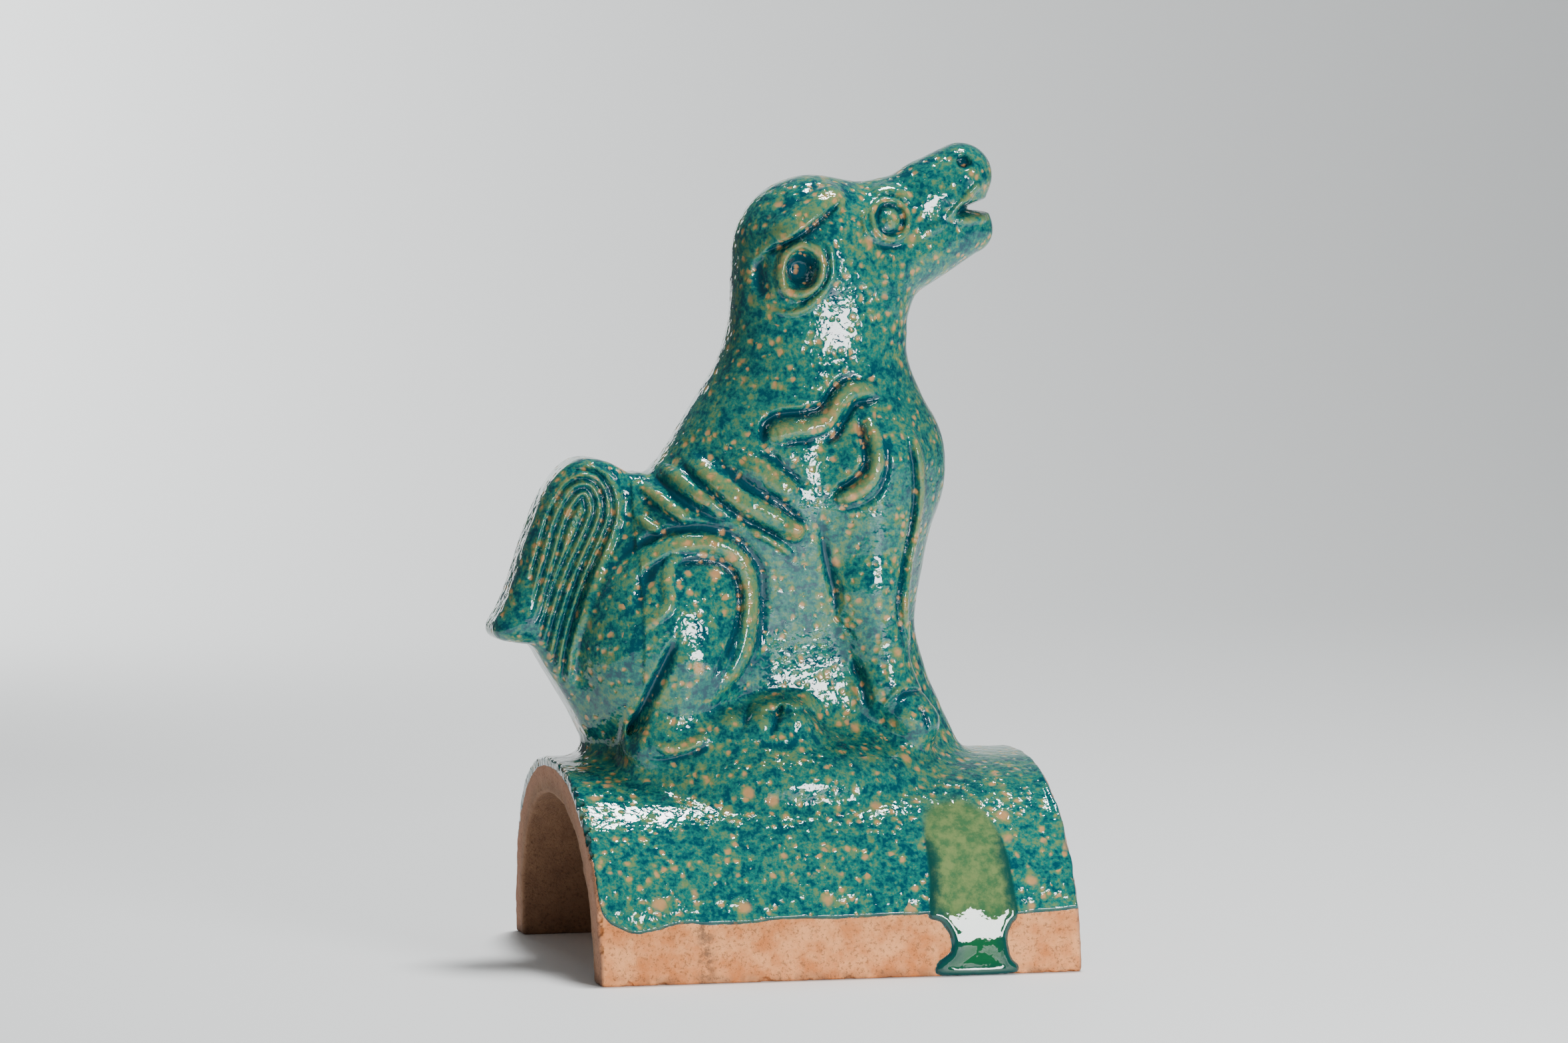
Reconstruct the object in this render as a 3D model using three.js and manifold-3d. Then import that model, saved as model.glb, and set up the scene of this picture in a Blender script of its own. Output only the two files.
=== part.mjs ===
// Ridge beast: a seated hound looking up, pressed and fired in one piece with the barrel ridge
// tile it sits on. X runs forward, Y to the beast's left, Z up from the bedding plane.
import * as THREE from 'three';
import { mergeVertices } from 'three/addons/utils/BufferGeometryUtils.js';
import Module from 'manifold-3d';

// ---- Driving dimensions, millimetres ----
const TILE_WIDTH = 176;
const TILE_HEIGHT = 81;
const TILE_WALL = 14.5;
const TILE_FRONT = 97;
const TILE_REAR = -98;
const ARCH_POWER = 2.25; // roundness of the barrel: 2 is an ellipse
const END_LEAN = 2.7; // how far both end faces lean back at crown height
const TRIM_TOP = 96; // the rear trim stays below the overhanging tail
const TAIL_THICKNESS = 32;
const TAIL_RIM = 9;
const LOCK_PITCH = 7.5; // spacing of the nested locks of the tail
const LOCK_HEIGHT = 1.6;
const NET_PITCH = 1.8; // sampling of the modelled form
const REACH = { x: [-131, 106], y: 92, z: [-9, 335] }; // space sampled round it
const NUDGE = 0.05; // how far inside the surface a corner is put when it is taken in
const FACE_BUDGET = 9000; // triangles kept of the modelled form
const BORE_SIDES = 32; // flats round the barrel's inside
const SPARE = 30; // how far the trimming blocks run past the form

// Trunk from seat to nape: height, back x, chest x, half width
const TRUNK = [
  [70, -84, 68, 32], [86, -87, 67, 31], [101, -90, 61, 30], [116, -91, 54.5, 29],
  [130, -90, 50, 29], [142, -88, 50.5, 30], [158, -84, 53.5, 32.5], [172, -79, 56.5, 34.5],
  [186, -70, 61.5, 35.5], [202, -55.5, 62.5, 35], [215, -47, 59.5, 33.5], [228, -39, 52, 31],
  [242, -31, 46.8, 28.5], [254, -27, 46.5, 28], [266, -25.5, 46.5, 27.5], [278, -22, 40, 25],
  [290, -10, 24, 16], [298, 2, 12, 6],
];
const TRUNK_POWER = 2.3;

// Tail outline, x and z, from the root over the top and down to the rump
const TAIL = [
  [-62, 191], [-70, 196.5], [-80, 201.5], [-90, 202.3], [-98, 197], [-105, 187], [-111, 172],
  [-116, 157], [-121, 144], [-125.5, 135.5], [-123.5, 130.5], [-115, 128.5], [-109, 127],
  [-103.5, 118], [-97.5, 109], [-91.5, 101], [-84, 93], [-66, 96], [-56, 140],
];
// Outer lock of the tail, a hairpin that the inner locks follow
const OUTER_LOCK = [
  [-120, 146], [-114, 166], [-109.7, 180.5], [-104.8, 190.5], [-98.3, 197.6], [-90.8, 200.2],
  [-83, 198], [-77.8, 191], [-76.3, 181], [-79.5, 171], [-88.8, 150], [-95.5, 127], [-96.6, 112],
];
const LOCK_ENDS = [[-104, 106], [-118, 128]]; // close the field of locks below
const LOCK_FOOT = 108;
const RIM_FADE = [0.5, 4.5]; // distance in from the rim over which the locks rise
const TONGUE = { x: -113, z: 158, slope: 0.2 }; // left of this line the tail's tip is smooth

// Carving on both flanks: points x, z along the stroke, half width, height, and the share of
// the length over which it fades in and out.
const RAISED = {
  brow: [[[28.5, 307.5], [35, 310.5], [41, 309], [45, 304]], 2.4, 1.6, 0.25, 0.3],
  eyeRim: [[[27.5, 300], [30.5, 304.5], [36.5, 306], [41.8, 303], [43.4, 298], [42, 293],
    [38.8, 290.5], [32.8, 290.5], [28.3, 294], [27.5, 300]], 1.6, 1.5, 0, 0],
  earRim: [[[-11.5, 276], [-9.5, 284], [-3.7, 288], [3, 285], [5, 279], [2.8, 271.6],
    [-3.8, 268], [-10, 270], [-11.5, 276]], 2.4, 2.4, 0, 0],
  earShell: [[[4, 292], [8, 287], [9, 281], [8.6, 274], [4, 267], [-3.5, 261.5], [-11, 261],
    [-17, 263]], 1.8, 1.6, 0.2, 0.3],
  earFlap: [[[17, 310], [6, 304], [-2, 298.5], [-10, 293.5], [-18, 289]], 6, 3.4, 0.15, 0.3],
  upperLip: [[[75, 312.5], [69, 306.5], [64.3, 301.5], [59, 297]], 2.2, 1.6, 0.1, 0.4],
  rib1: [[[-70, 180], [-67, 177.7], [-63.8, 175.4], [-59, 172.5]], 2.4, 1.8, 0.3, 0.3],
  rib2: [[[-67, 193], [-61, 187.2], [-55.5, 182], [-49, 177]], 3, 2.3, 0.2, 0.3],
  rib3: [[[-58, 200], [-53, 194.8], [-48.4, 190.3], [-40, 184], [-33, 180]], 3.4, 2.4, 0.2, 0.5],
  rib4: [[[-48.5, 204.5], [-42.5, 196], [-34.6, 189], [-26, 184], [-16.3, 178.5], [-4, 171.5]],
    5, 3.2, 0.2, 0.08],
  rib5: [[[-32.6, 206.7], [-26.4, 202], [-20, 197.5], [-12.3, 191], [-6, 186]], 4.6, 2.2, 0.4, 0.2],
  rib6: [[[-27, 175], [-20, 171.5], [-13, 167.5], [-7, 162]], 2.2, 1.8, 0.2, 0.4],
  haunchBand: [[[-44, 106], [-36, 114], [-30.5, 121], [-27, 130], [-25.5, 140], [-25.5, 150],
    [-28, 159], [-33.5, 165.5], [-42, 169], [-51.5, 169.5], [-60, 167.5], [-68, 162.5],
    [-75, 155.5], [-81, 147]], 4.2, 2.8, 0.25, 0.35],
  hookLock: [[[-53, 166.5], [-58.5, 161.5], [-60.4, 154], [-60, 147.3], [-63, 142.4],
    [-69, 137.8], [-74, 134]], 3, 1.9, 0.15, 0.4],
  footRidge: [[[-68.5, 91], [-62, 88.3], [-55, 89], [-49, 91.5], [-42, 95]], 2.6, 1.6, 0.25, 0.4],
  pawTop: [[[-29, 105], [-20, 105.5], [-11, 106], [-2, 105], [5, 100]], 3.6, 2.4, 0.3, 0.3],
  flame: [[[-15, 212.5], [-8, 214.5], [-1, 215], [5, 217.5], [9.3, 223], [14.6, 228.2],
    [22, 230.2], [31, 228.5]], 4.3, 3.2, 0.03, 0.3],
  shoulderHook: [[[23, 221], [24, 213], [24.9, 206.3], [24.7, 200], [22.3, 193.9], [17.5, 189.3],
    [11, 186.8]], 3.4, 2.9, 0.25, 0.03],
  shinRidge: [[[40.5, 215], [43.3, 208], [45.3, 200], [46.8, 190], [46.5, 180], [45, 171.5],
    [42.9, 162.5], [40.9, 152.6], [39.3, 144], [40, 136], [43.5, 127], [47, 118]],
    2.3, 1.8, 0.12, 0.25],
};
const CUT = {
  eyeSocket: [[[24, 291], [28.5, 288.2], [35, 286.8], [42, 288]], 2.2, 1.3, 0.3, 0.4],
  earLine: [[[16.5, 308], [10, 302], [3.4, 297], [-3.6, 291.8], [-10.2, 287.6], [-17.5, 284]],
    2.2, 2.6, 0.25, 0.15],
  earHollow: [[[-16.5, 285], [-18, 275], [-16.4, 265]], 4, 2.4, 0.3, 0.35],
  mouth: [[[63, 299.6], [69, 302], [80, 303.5]], 3.4, 4.5, 0.35, 0],
  ribCut2: [[[-67, 187], [-63, 183.3], [-58, 179.5], [-52, 175.8]], 2.4, 1.3, 0.2, 0.2],
  ribCut3: [[[-61, 196], [-57, 191.3], [-50.6, 185.2], [-43.4, 180.3], [-35.8, 176.5]],
    2.6, 1.7, 0.2, 0.2],
  ribCut4: [[[-51, 200], [-47.8, 196.5], [-41, 189.5], [-33.8, 182.5], [-26, 177], [-17, 172.2],
    [-8, 165]], 2.6, 2, 0.2, 0.25],
  ribCut5: [[[-41, 206], [-38.3, 202.7], [-30.5, 195.4], [-22, 189.5], [-13, 184], [-6, 178],
    [0, 170]], 3.2, 1.6, 0.3, 0.3],
  ribCut6: [[[-24, 208], [-18, 204], [-10, 199], [-3, 195]], 3, 1.2, 0.3, 0.3],
  haunchInside: [[[-57, 160], [-51, 161.8], [-42, 161.8], [-35, 159], [-31, 153], [-30, 145],
    [-31.8, 136], [-35.8, 127.3], [-40.5, 119.5], [-45, 112]], 2.4, 1.7, 0.15, 0.3],
  haunchOutside: [[[-86, 149], [-78, 159.5], [-70, 167.3], [-60.5, 173], [-49, 175.5],
    [-39.5, 175], [-31.5, 171.5], [-25, 165], [-20.5, 158], [-19.5, 148], [-19.5, 138],
    [-21, 128], [-24.5, 118]], 3.4, 1.6, 0.2, 0.3],
  hookPocket: [[[-64.5, 163], [-68, 155], [-71.3, 147], [-75.5, 141]], 4.2, 1.9, 0.3, 0.4],
  legCrease: [[[-58, 132.5], [-61.2, 123.5], [-65, 115.4], [-68.4, 107], [-71.5, 99],
    [-74.5, 91], [-75.6, 85]], 3.8, 3.6, 0.2, 0.3],
  footLine: [[[-71, 85], [-64, 83.4], [-55.4, 85], [-47.4, 88], [-40, 91.5]], 2.4, 1.4, 0.3, 0.4],
  flameTop: [[[-20, 205], [-20, 212], [-18, 217], [-12.6, 220], [-4, 221], [4.5, 223],
    [8.8, 229.5], [14, 234.3], [22, 236.3]], 2.8, 2.6, 0.2, 0.35],
  flameCrease: [[[3.5, 208], [9.4, 211.3], [13.8, 217.7], [18.3, 223.6], [23.6, 225],
    [31.5, 226.2]], 2.2, 2, 0.15, 0.3],
  hookInside: [[[19.2, 220], [19.4, 212.2], [20.3, 206.3], [20.1, 199.8], [16.5, 194.5],
    [11.4, 191], [6.5, 187]], 2.4, 2.2, 0.2, 0.2],
  shinLine: [[[38, 213], [40.3, 205], [42, 197], [42.9, 187], [42.3, 177], [40.3, 168],
    [37.8, 158], [35.8, 148], [35.5, 139], [37.2, 131], [40.5, 123]], 2.2, 1.9, 0.15, 0.25],
  legBack: [[[2, 184], [3.5, 178], [5, 167], [7.2, 158], [9.6, 150], [10.6, 142], [9, 136]],
    3.4, 2.2, 0.4, 0.3],
  legBackLow: [[[17, 123], [20.3, 115], [22.4, 108], [23.7, 100]], 3.2, 2.2, 0.3, 0.3],
  pawLine: [[[28.5, 100.5], [34, 106.6], [40.4, 108], [49, 107]], 2.2, 1.5, 0.2, 0.3],
};
// Rounded swellings and pits: centre x, z, radius x, z, height
const SWELLINGS = {
  eyeball: [36, 298.2, 5.2, 5.2, 2.6],
  earPit: [-3, 278, 7.4, 8.4, -7.5],
  nostril: [68.3, 321, 3.9, 3.6, -3.2],
  toe1: [-35.5, 99.5, 7, 6, 1.6],
  toe2: [-23, 99.5, 6.2, 7, 2.2],
  toe3: [-8, 99, 8, 7.5, 2.4],
  ribKnob: [-8, 174.5, 8.5, 5.5, 1.8],
  frontToe: [38, 97.5, 9, 8, 2],
};

// ---- Small tools of form ----
const clamp = (v, lo, hi) => Math.min(Math.max(v, lo), hi);
const mix = (a, b, t) => a + (b - a) * t;

function ease(lo, hi, v) {
  const t = clamp((v - lo) / (hi - lo), 0, 1);
  return t * t * (3 - 2 * t);
}

// Joins two distances with a fillet of the given size
function join(a, b, fillet) {
  const h = clamp(0.5 + (0.5 * (b - a)) / fillet, 0, 1);
  return mix(b, a, h) - fillet * h * (1 - h);
}

// A smooth curve through points of x and z
function smoothLine(points, closed, steps) {
  const path = points.map(([x, z]) => new THREE.Vector3(x, 0, z));
  const line = new THREE.CatmullRomCurve3(path, closed, 'catmullrom', 0.5);
  return line.getPoints(steps).map((p) => [p.x, p.z]);
}

// Nearest point of a polyline: distance and share of its length
function nearest(line, x, z) {
  let best = Infinity;
  let share = 0;
  for (let i = 0; i + 1 < line.length; i += 1) {
    const [ax, az] = line[i];
    const ex = line[i + 1][0] - ax;
    const ez = line[i + 1][1] - az;
    const t = clamp(((x - ax) * ex + (z - az) * ez) / (ex * ex + ez * ez), 0, 1);
    const d = (x - ax - t * ex) ** 2 + (z - az - t * ez) ** 2;
    if (d < best) {
      best = d;
      share = (i + t) / (line.length - 1);
    }
  }
  return [Math.sqrt(best), share];
}

function contains(outline, x, z) {
  let inside = false;
  outline.forEach(([ax, az], i) => {
    const [bx, bz] = outline[(i + 1) % outline.length];
    if (az > z !== bz > z && x < ((bx - ax) * (z - az)) / (bz - az) + ax) inside = !inside;
  });
  return inside;
}

// ---- Masses of the beast; y is taken from the middle plane outwards ----
function ellipsoid(x, y, z, [cx, cy, cz], [a, b, c], tilt = 0) {
  const turn = THREE.MathUtils.degToRad(tilt);
  const cos = Math.cos(turn);
  const sin = Math.sin(turn);
  const u = (x - cx) * cos + (z - cz) * sin;
  const v = y - cy;
  const w = (z - cz) * cos - (x - cx) * sin;
  const near = Math.hypot(u / a, v / b, w / c);
  const slope = Math.hypot(u / (a * a), v / (b * b), w / (c * c)) + 1e-6;
  return (near * (near - 1)) / slope;
}

function limb(x, y, z, from, to, startRadius, endRadius, width = 1) {
  const d = to.map((v, i) => v - from[i]);
  const p = [x - from[0], y - from[1], z - from[2]];
  const length = d[0] * d[0] + d[1] * d[1] + d[2] * d[2];
  const t = clamp((p[0] * d[0] + p[1] * d[1] + p[2] * d[2]) / length, 0, 1);
  const gap = Math.hypot(p[0] - t * d[0], (p[1] - t * d[1]) / width, p[2] - t * d[2]);
  return gap - mix(startRadius, endRadius, t);
}

// The trunk's stations as smooth functions of height
const TRUNK_STEPS = 120;
const trunkTable = (() => {
  const columns = [1, 2, 3].map((k) => smoothLine(TRUNK.map((s) => [s[0], s[k]]), false, 400));
  const foot = TRUNK[0][0];
  const top = TRUNK.at(-1)[0];
  return Array.from({ length: TRUNK_STEPS + 1 }, (_, i) => {
    const z = mix(foot, top, i / TRUNK_STEPS);
    return columns.map((line) => {
      const j = clamp(line.findIndex((p) => p[0] >= z), 1, line.length - 1);
      const [a, b] = [line[j - 1], line[j]];
      return mix(a[1], b[1], clamp((z - a[0]) / (b[0] - a[0]), 0, 1));
    });
  });
})();

function trunk(x, y, z) {
  const foot = TRUNK[0][0];
  const top = TRUNK.at(-1)[0];
  const place = clamp((z - foot) / (top - foot), 0, 1) * TRUNK_STEPS;
  const i = Math.min(Math.floor(place), TRUNK_STEPS - 1);
  const [back, front, half] = trunkTable[i].map((v, k) => mix(v, trunkTable[i + 1][k], place - i));
  const depth = (front - back) / 2;
  const u = x - (front + back) / 2;
  const k = ((Math.abs(u) / depth) ** TRUNK_POWER + (y / half) ** TRUNK_POWER) ** (1 / TRUNK_POWER);
  const slope = Math.hypot(u / depth ** 2, y / half ** 2) + 1e-6;
  const d = (k - 1) * Math.min(k / slope, Math.min(depth, half) * 1.6);
  return Math.max(d, z - top, foot - z);
}

function head(x, y, z, f) {
  f = join(f, ellipsoid(x, y, z, [7.5, 0, 284], [33, 29, 32], 10), 7); // skull
  f = join(f, limb(x, y, z, [18, 0, 290], [60, 0, 305], 21, 15), 6); // muzzle
  f = join(f, limb(x, y, z, [56, 0, 309], [69.5, 0, 316], 14, 13.2, 1.12), 5); // nose
  return join(f, limb(x, y, z, [32, 0, 279], [73, 0, 294], 20, 10.3, 1.1), 9); // jaw and throat
}

function limbs(x, y, z, f) {
  f = join(f, ellipsoid(x, y, z, [-55, 13, 128], [38, 29, 46]), 9); // haunch
  f = join(f, limb(x, y, z, [26, 19, 200], [25, 22, 150], 21, 14.5), 9); // shoulder
  f = join(f, limb(x, y, z, [25, 22, 150], [32, 24, 112], 14.5, 11.5), 7); // foreleg
  f = join(f, limb(x, y, z, [32, 24, 108], [44, 29, 95], 12, 9.5), 6); // front paw
  f = join(f, limb(x, y, z, [-50, 26, 118], [-62, 30, 92], 16, 10), 8); // hind shank
  return join(f, limb(x, y, z, [-66, 31, 88], [-12, 33, 92], 11, 12.5), 6); // hind foot
}

function tail(outlineGap, y) {
  const u = outlineGap + TAIL_RIM;
  const v = y - TAIL_THICKNESS / 2 + TAIL_RIM;
  return Math.hypot(Math.max(u, 0), Math.max(v, 0)) + Math.min(Math.max(u, v), 0) - TAIL_RIM;
}

const mound = (x, y, z) => ellipsoid(x, y, z, [-10, 0, 72], [75, 60, 25]);

function arch(y, z, half, height) {
  const k = ((y / half) ** ARCH_POWER + (Math.abs(z) / height) ** ARCH_POWER) ** (1 / ARCH_POWER);
  return (k - 1) * Math.min(half, height);
}

// ---- Carving ----
const steps = (points) => Math.max(6, (points.length - 1) * 4);
const strokes = (table) => Object.values(table).map(([points, half, height, fadeIn, fadeOut]) => {
  const line = smoothLine(points, false, steps(points));
  const xs = line.map((p) => p[0]);
  const zs = line.map((p) => p[1]);
  const box = [Math.min(...xs) - half, Math.max(...xs) + half, Math.min(...zs) - half,
    Math.max(...zs) + half];
  return { line, half, height, fadeIn, fadeOut, box };
});
const raisedStrokes = strokes(RAISED);
const cutStrokes = strokes(CUT);

function strokeHeight(stroke, x, z, profile) {
  const [x0, x1, z0, z1] = stroke.box;
  if (x < x0 || x > x1 || z < z0 || z > z1) return 0;
  const [gap, share] = nearest(stroke.line, x, z);
  let fade = 1;
  if (stroke.fadeIn > 0) fade *= ease(0, stroke.fadeIn, share + 0.02);
  if (stroke.fadeOut > 0) fade *= ease(0, stroke.fadeOut, 1 - share + 0.02);
  const across = clamp(gap / (stroke.half * (0.55 + 0.45 * fade)), 0, 1);
  return stroke.height * fade * profile(across);
}

const outerLock = smoothLine(OUTER_LOCK, false, 60);
const lockField = [...outerLock, ...LOCK_ENDS];

// Nested ridges that follow the outer lock inwards; they die out at the rim, at the foot and
// on the smooth tongue
function lockWaves(x, z, tailGap) {
  if (tailGap > -RIM_FADE[0] || x > -70 || z < LOCK_FOOT) return 0;
  const [gap] = nearest(outerLock, x, z);
  const inward = contains(lockField, x, z) ? Math.cos((2 * Math.PI * gap) / LOCK_PITCH)
    : 1 - ease(0, LOCK_PITCH / 2, gap);
  const edge = TONGUE.x + (TONGUE.z - z) * TONGUE.slope;
  const clearOfTongue = z > TONGUE.z ? 1 : ease(-2, 4, x - edge);
  const clearOfRim = ease(RIM_FADE[0], RIM_FADE[1], -tailGap);
  return LOCK_HEIGHT * inward * clearOfTongue * clearOfRim * ease(LOCK_FOOT, LOCK_FOOT + 8, z);
}

function carving(x, z, tailGap) {
  let up = 0;
  let down = 0;
  for (const s of raisedStrokes) up = Math.max(up, strokeHeight(s, x, z, (r) => 1 - r ** 2.6));
  for (const s of cutStrokes) down = Math.max(down, strokeHeight(s, x, z, (r) => 1 - ease(0, 1, r)));
  let height = up - down;
  for (const [cx, cz, rx, rz, rise] of Object.values(SWELLINGS)) {
    const r = Math.hypot((x - cx) / rx, (z - cz) / rz);
    height += rise * (1 - ease(rise < 0 ? 0.35 : 0, 1, r));
  }
  return height + lockWaves(x, z, tailGap);
}

// ---- The modelled form before trimming: negative inside ----
function form(x, y, z, tailGap, relief) {
  let f = limbs(x, y, z, head(x, y, z, trunk(x, y, z)));
  f = join(f, tail(tailGap, y), 6) - relief;
  f = join(f, mound(x, y, z), 12);
  return join(f, arch(y, z, TILE_WIDTH / 2, TILE_HEIGHT), 7);
}

// ---- Sampling on a grid and skinning: one vertex in each cell that the surface crosses ----
function sampleForm() {
  const nx = Math.ceil((REACH.x[1] - REACH.x[0]) / NET_PITCH) + 1;
  const ny = Math.ceil(REACH.y / NET_PITCH) + 1;
  const nz = Math.ceil((REACH.z[1] - REACH.z[0]) / NET_PITCH) + 1;
  const width = 2 * ny - 1;
  const field = new Float32Array(nx * width * nz).fill(NET_PITCH);
  const tailLine = smoothLine(TAIL, true, 76);
  for (let i = 1; i < nx - 1; i += 1) {
    const x = REACH.x[0] + i * NET_PITCH;
    for (let k = 1; k < nz - 1; k += 1) {
      const z = REACH.z[0] + k * NET_PITCH;
      const gap = nearest(tailLine, x, z)[0];
      const tailGap = contains(tailLine, x, z) ? -gap : gap;
      const relief = carving(x, z, tailGap);
      for (let j = 0; j < ny - 1; j += 1) {
        const value = form(x, j * NET_PITCH, z, tailGap, relief);
        field[(i * width + ny - 1 + j) * nz + k] = value;
        field[(i * width + ny - 1 - j) * nz + k] = value;
      }
    }
  }
  const start = [REACH.x[0], -(ny - 1) * NET_PITCH, REACH.z[0]];
  return { field, size: [nx, width, nz], start };
}

const CORNERS = [0, 1, 2, 3, 4, 5, 6, 7].map((c) => [c >> 2, (c >> 1) & 1, c & 1]);
const EDGES = CORNERS.flatMap((a, i) => CORNERS.map((b, j) => [i, j]).filter(([, j]) => {
  const apart = CORNERS[j].reduce((sum, v, c) => sum + Math.abs(v - a[c]), 0);
  return j > i && apart === 1;
}));

// How many separate groups the corners in a mask fall into, going along the cell's edges
function groups(mask) {
  const group = CORNERS.map((_, i) => i);
  EDGES.forEach(([a, b]) => {
    if (((mask >> a) & 1) && ((mask >> b) & 1)) {
      const [from, to] = [group[a], group[b]];
      group.forEach((g, i) => { if (g === from) group[i] = to; });
    }
  });
  return new Set(group.filter((_, i) => (mask >> i) & 1)).size;
}

// Where two sheets of surface would touch inside one cell, its outside corner nearest to the
// surface is taken in, until every cell is crossed by one sheet only
function partTouchingSheets({ field, size: [nx, ny, nz] }) {
  const offsets = CORNERS.map(([i, j, k]) => (i * ny + j) * nz + k);
  const pinched = Array.from({ length: 256 }, (_, m) => groups(m) > 1 || groups(255 - m) > 1);
  let changed = true;
  while (changed) {
    changed = false;
    for (let at = 0; at + offsets[7] < field.length; at += 1) {
      let mask = 0;
      for (let c = 0; c < 8; c += 1) if (field[at + offsets[c]] < 0) mask |= 1 << c;
      if (!pinched[mask]) continue;
      const outside = offsets.map((o) => at + o).filter((i) => field[i] >= 0);
      const nearest = outside.reduce((a, b) => (field[b] < field[a] ? b : a));
      field[nearest] = -NUDGE;
      changed = true;
    }
  }
}

function skin({ field, size: [nx, ny, nz], start }) {
  const strides = [ny * nz, nz, 1];
  const offsets = CORNERS.map((c) => c[0] * strides[0] + c[1] * strides[1] + c[2]);
  const cellVertex = new Int32Array(field.length).fill(-1);
  const points = [];
  for (let i = 0; i < nx - 1; i += 1) {
    for (let j = 0; j < ny - 1; j += 1) {
      for (let k = 0; k < nz - 1; k += 1) {
        const at = i * strides[0] + j * strides[1] + k;
        const values = offsets.map((o) => field[at + o]);
        const inside = values.filter((v) => v < 0).length;
        if (inside === 0 || inside === 8) continue;
        const sum = [0, 0, 0];
        let hits = 0;
        for (const [a, b] of EDGES) {
          if (values[a] < 0 === values[b] < 0) continue;
          const t = values[a] / (values[a] - values[b]);
          for (let c = 0; c < 3; c += 1) sum[c] += mix(CORNERS[a][c], CORNERS[b][c], t);
          hits += 1;
        }
        cellVertex[at] = points.length;
        points.push([i, j, k].map((g, c) => start[c] + (g + sum[c] / hits) * NET_PITCH));
      }
    }
  }
  const triangles = [];
  for (let i = 0; i < nx - 1; i += 1) {
    for (let j = 0; j < ny - 1; j += 1) {
      for (let k = 0; k < nz - 1; k += 1) {
        const at = i * strides[0] + j * strides[1] + k;
        for (let axis = 0; axis < 3; axis += 1) {
          const here = field[at] < 0;
          if (here === field[at + strides[axis]] < 0) continue;
          const u = strides[(axis + 1) % 3];
          const v = strides[(axis + 2) % 3];
          const ring = [at, at - u, at - u - v, at - v].map((c) => cellVertex[c]);
          const [a, b, c, d] = here ? ring : ring.reverse();
          triangles.push([a, b, c], [a, c, d]);
        }
      }
    }
  }
  return { points, triangles };
}

// ---- Fewer faces: edges are closed up in order of how little that moves the surface ----
// A quadric holds the squared distance to the planes round a vertex as ten sums.
function addPlane(q, [a, b, c, d], weight) {
  const terms = [a * a, a * b, a * c, a * d, b * b, b * c, b * d, c * c, c * d, d * d];
  terms.forEach((v, i) => { q[i] += v * weight; });
}

function quadricError(q, [x, y, z]) {
  return q[0] * x * x + 2 * q[1] * x * y + 2 * q[2] * x * z + 2 * q[3] * x
    + q[4] * y * y + 2 * q[5] * y * z + 2 * q[6] * y + q[7] * z * z + 2 * q[8] * z + q[9];
}

// The point of least error, or the best of both ends and the middle
function bestPoint(q, p, r) {
  const m = new THREE.Matrix3().set(q[0], q[1], q[2], q[1], q[4], q[5], q[2], q[5], q[7]);
  const middle = p.map((v, i) => (v + r[i]) / 2);
  const spread = Math.hypot(p[0] - r[0], p[1] - r[1], p[2] - r[2]);
  const size = q[0] + q[4] + q[7];
  if (Math.abs(m.determinant()) > 1e-4 * size ** 3) {
    const s = new THREE.Vector3(-q[3], -q[6], -q[8]).applyMatrix3(m.invert());
    const point = [s.x, s.y, s.z];
    const moved = Math.hypot(...point.map((v, i) => v - middle[i]));
    if (moved < 1.5 * spread) return point;
  }
  return [middle, p, r].sort((a, b) => quadricError(q, a) - quadricError(q, b))[0];
}

function normalOf(a, b, c) {
  const u = b.map((v, i) => v - a[i]);
  const w = c.map((v, i) => v - a[i]);
  const n = [u[1] * w[2] - u[2] * w[1], u[2] * w[0] - u[0] * w[2], u[0] * w[1] - u[1] * w[0]];
  const length = Math.hypot(...n) || 1e-12;
  return [n[0] / length, n[1] / length, n[2] / length, length / 2];
}

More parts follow.
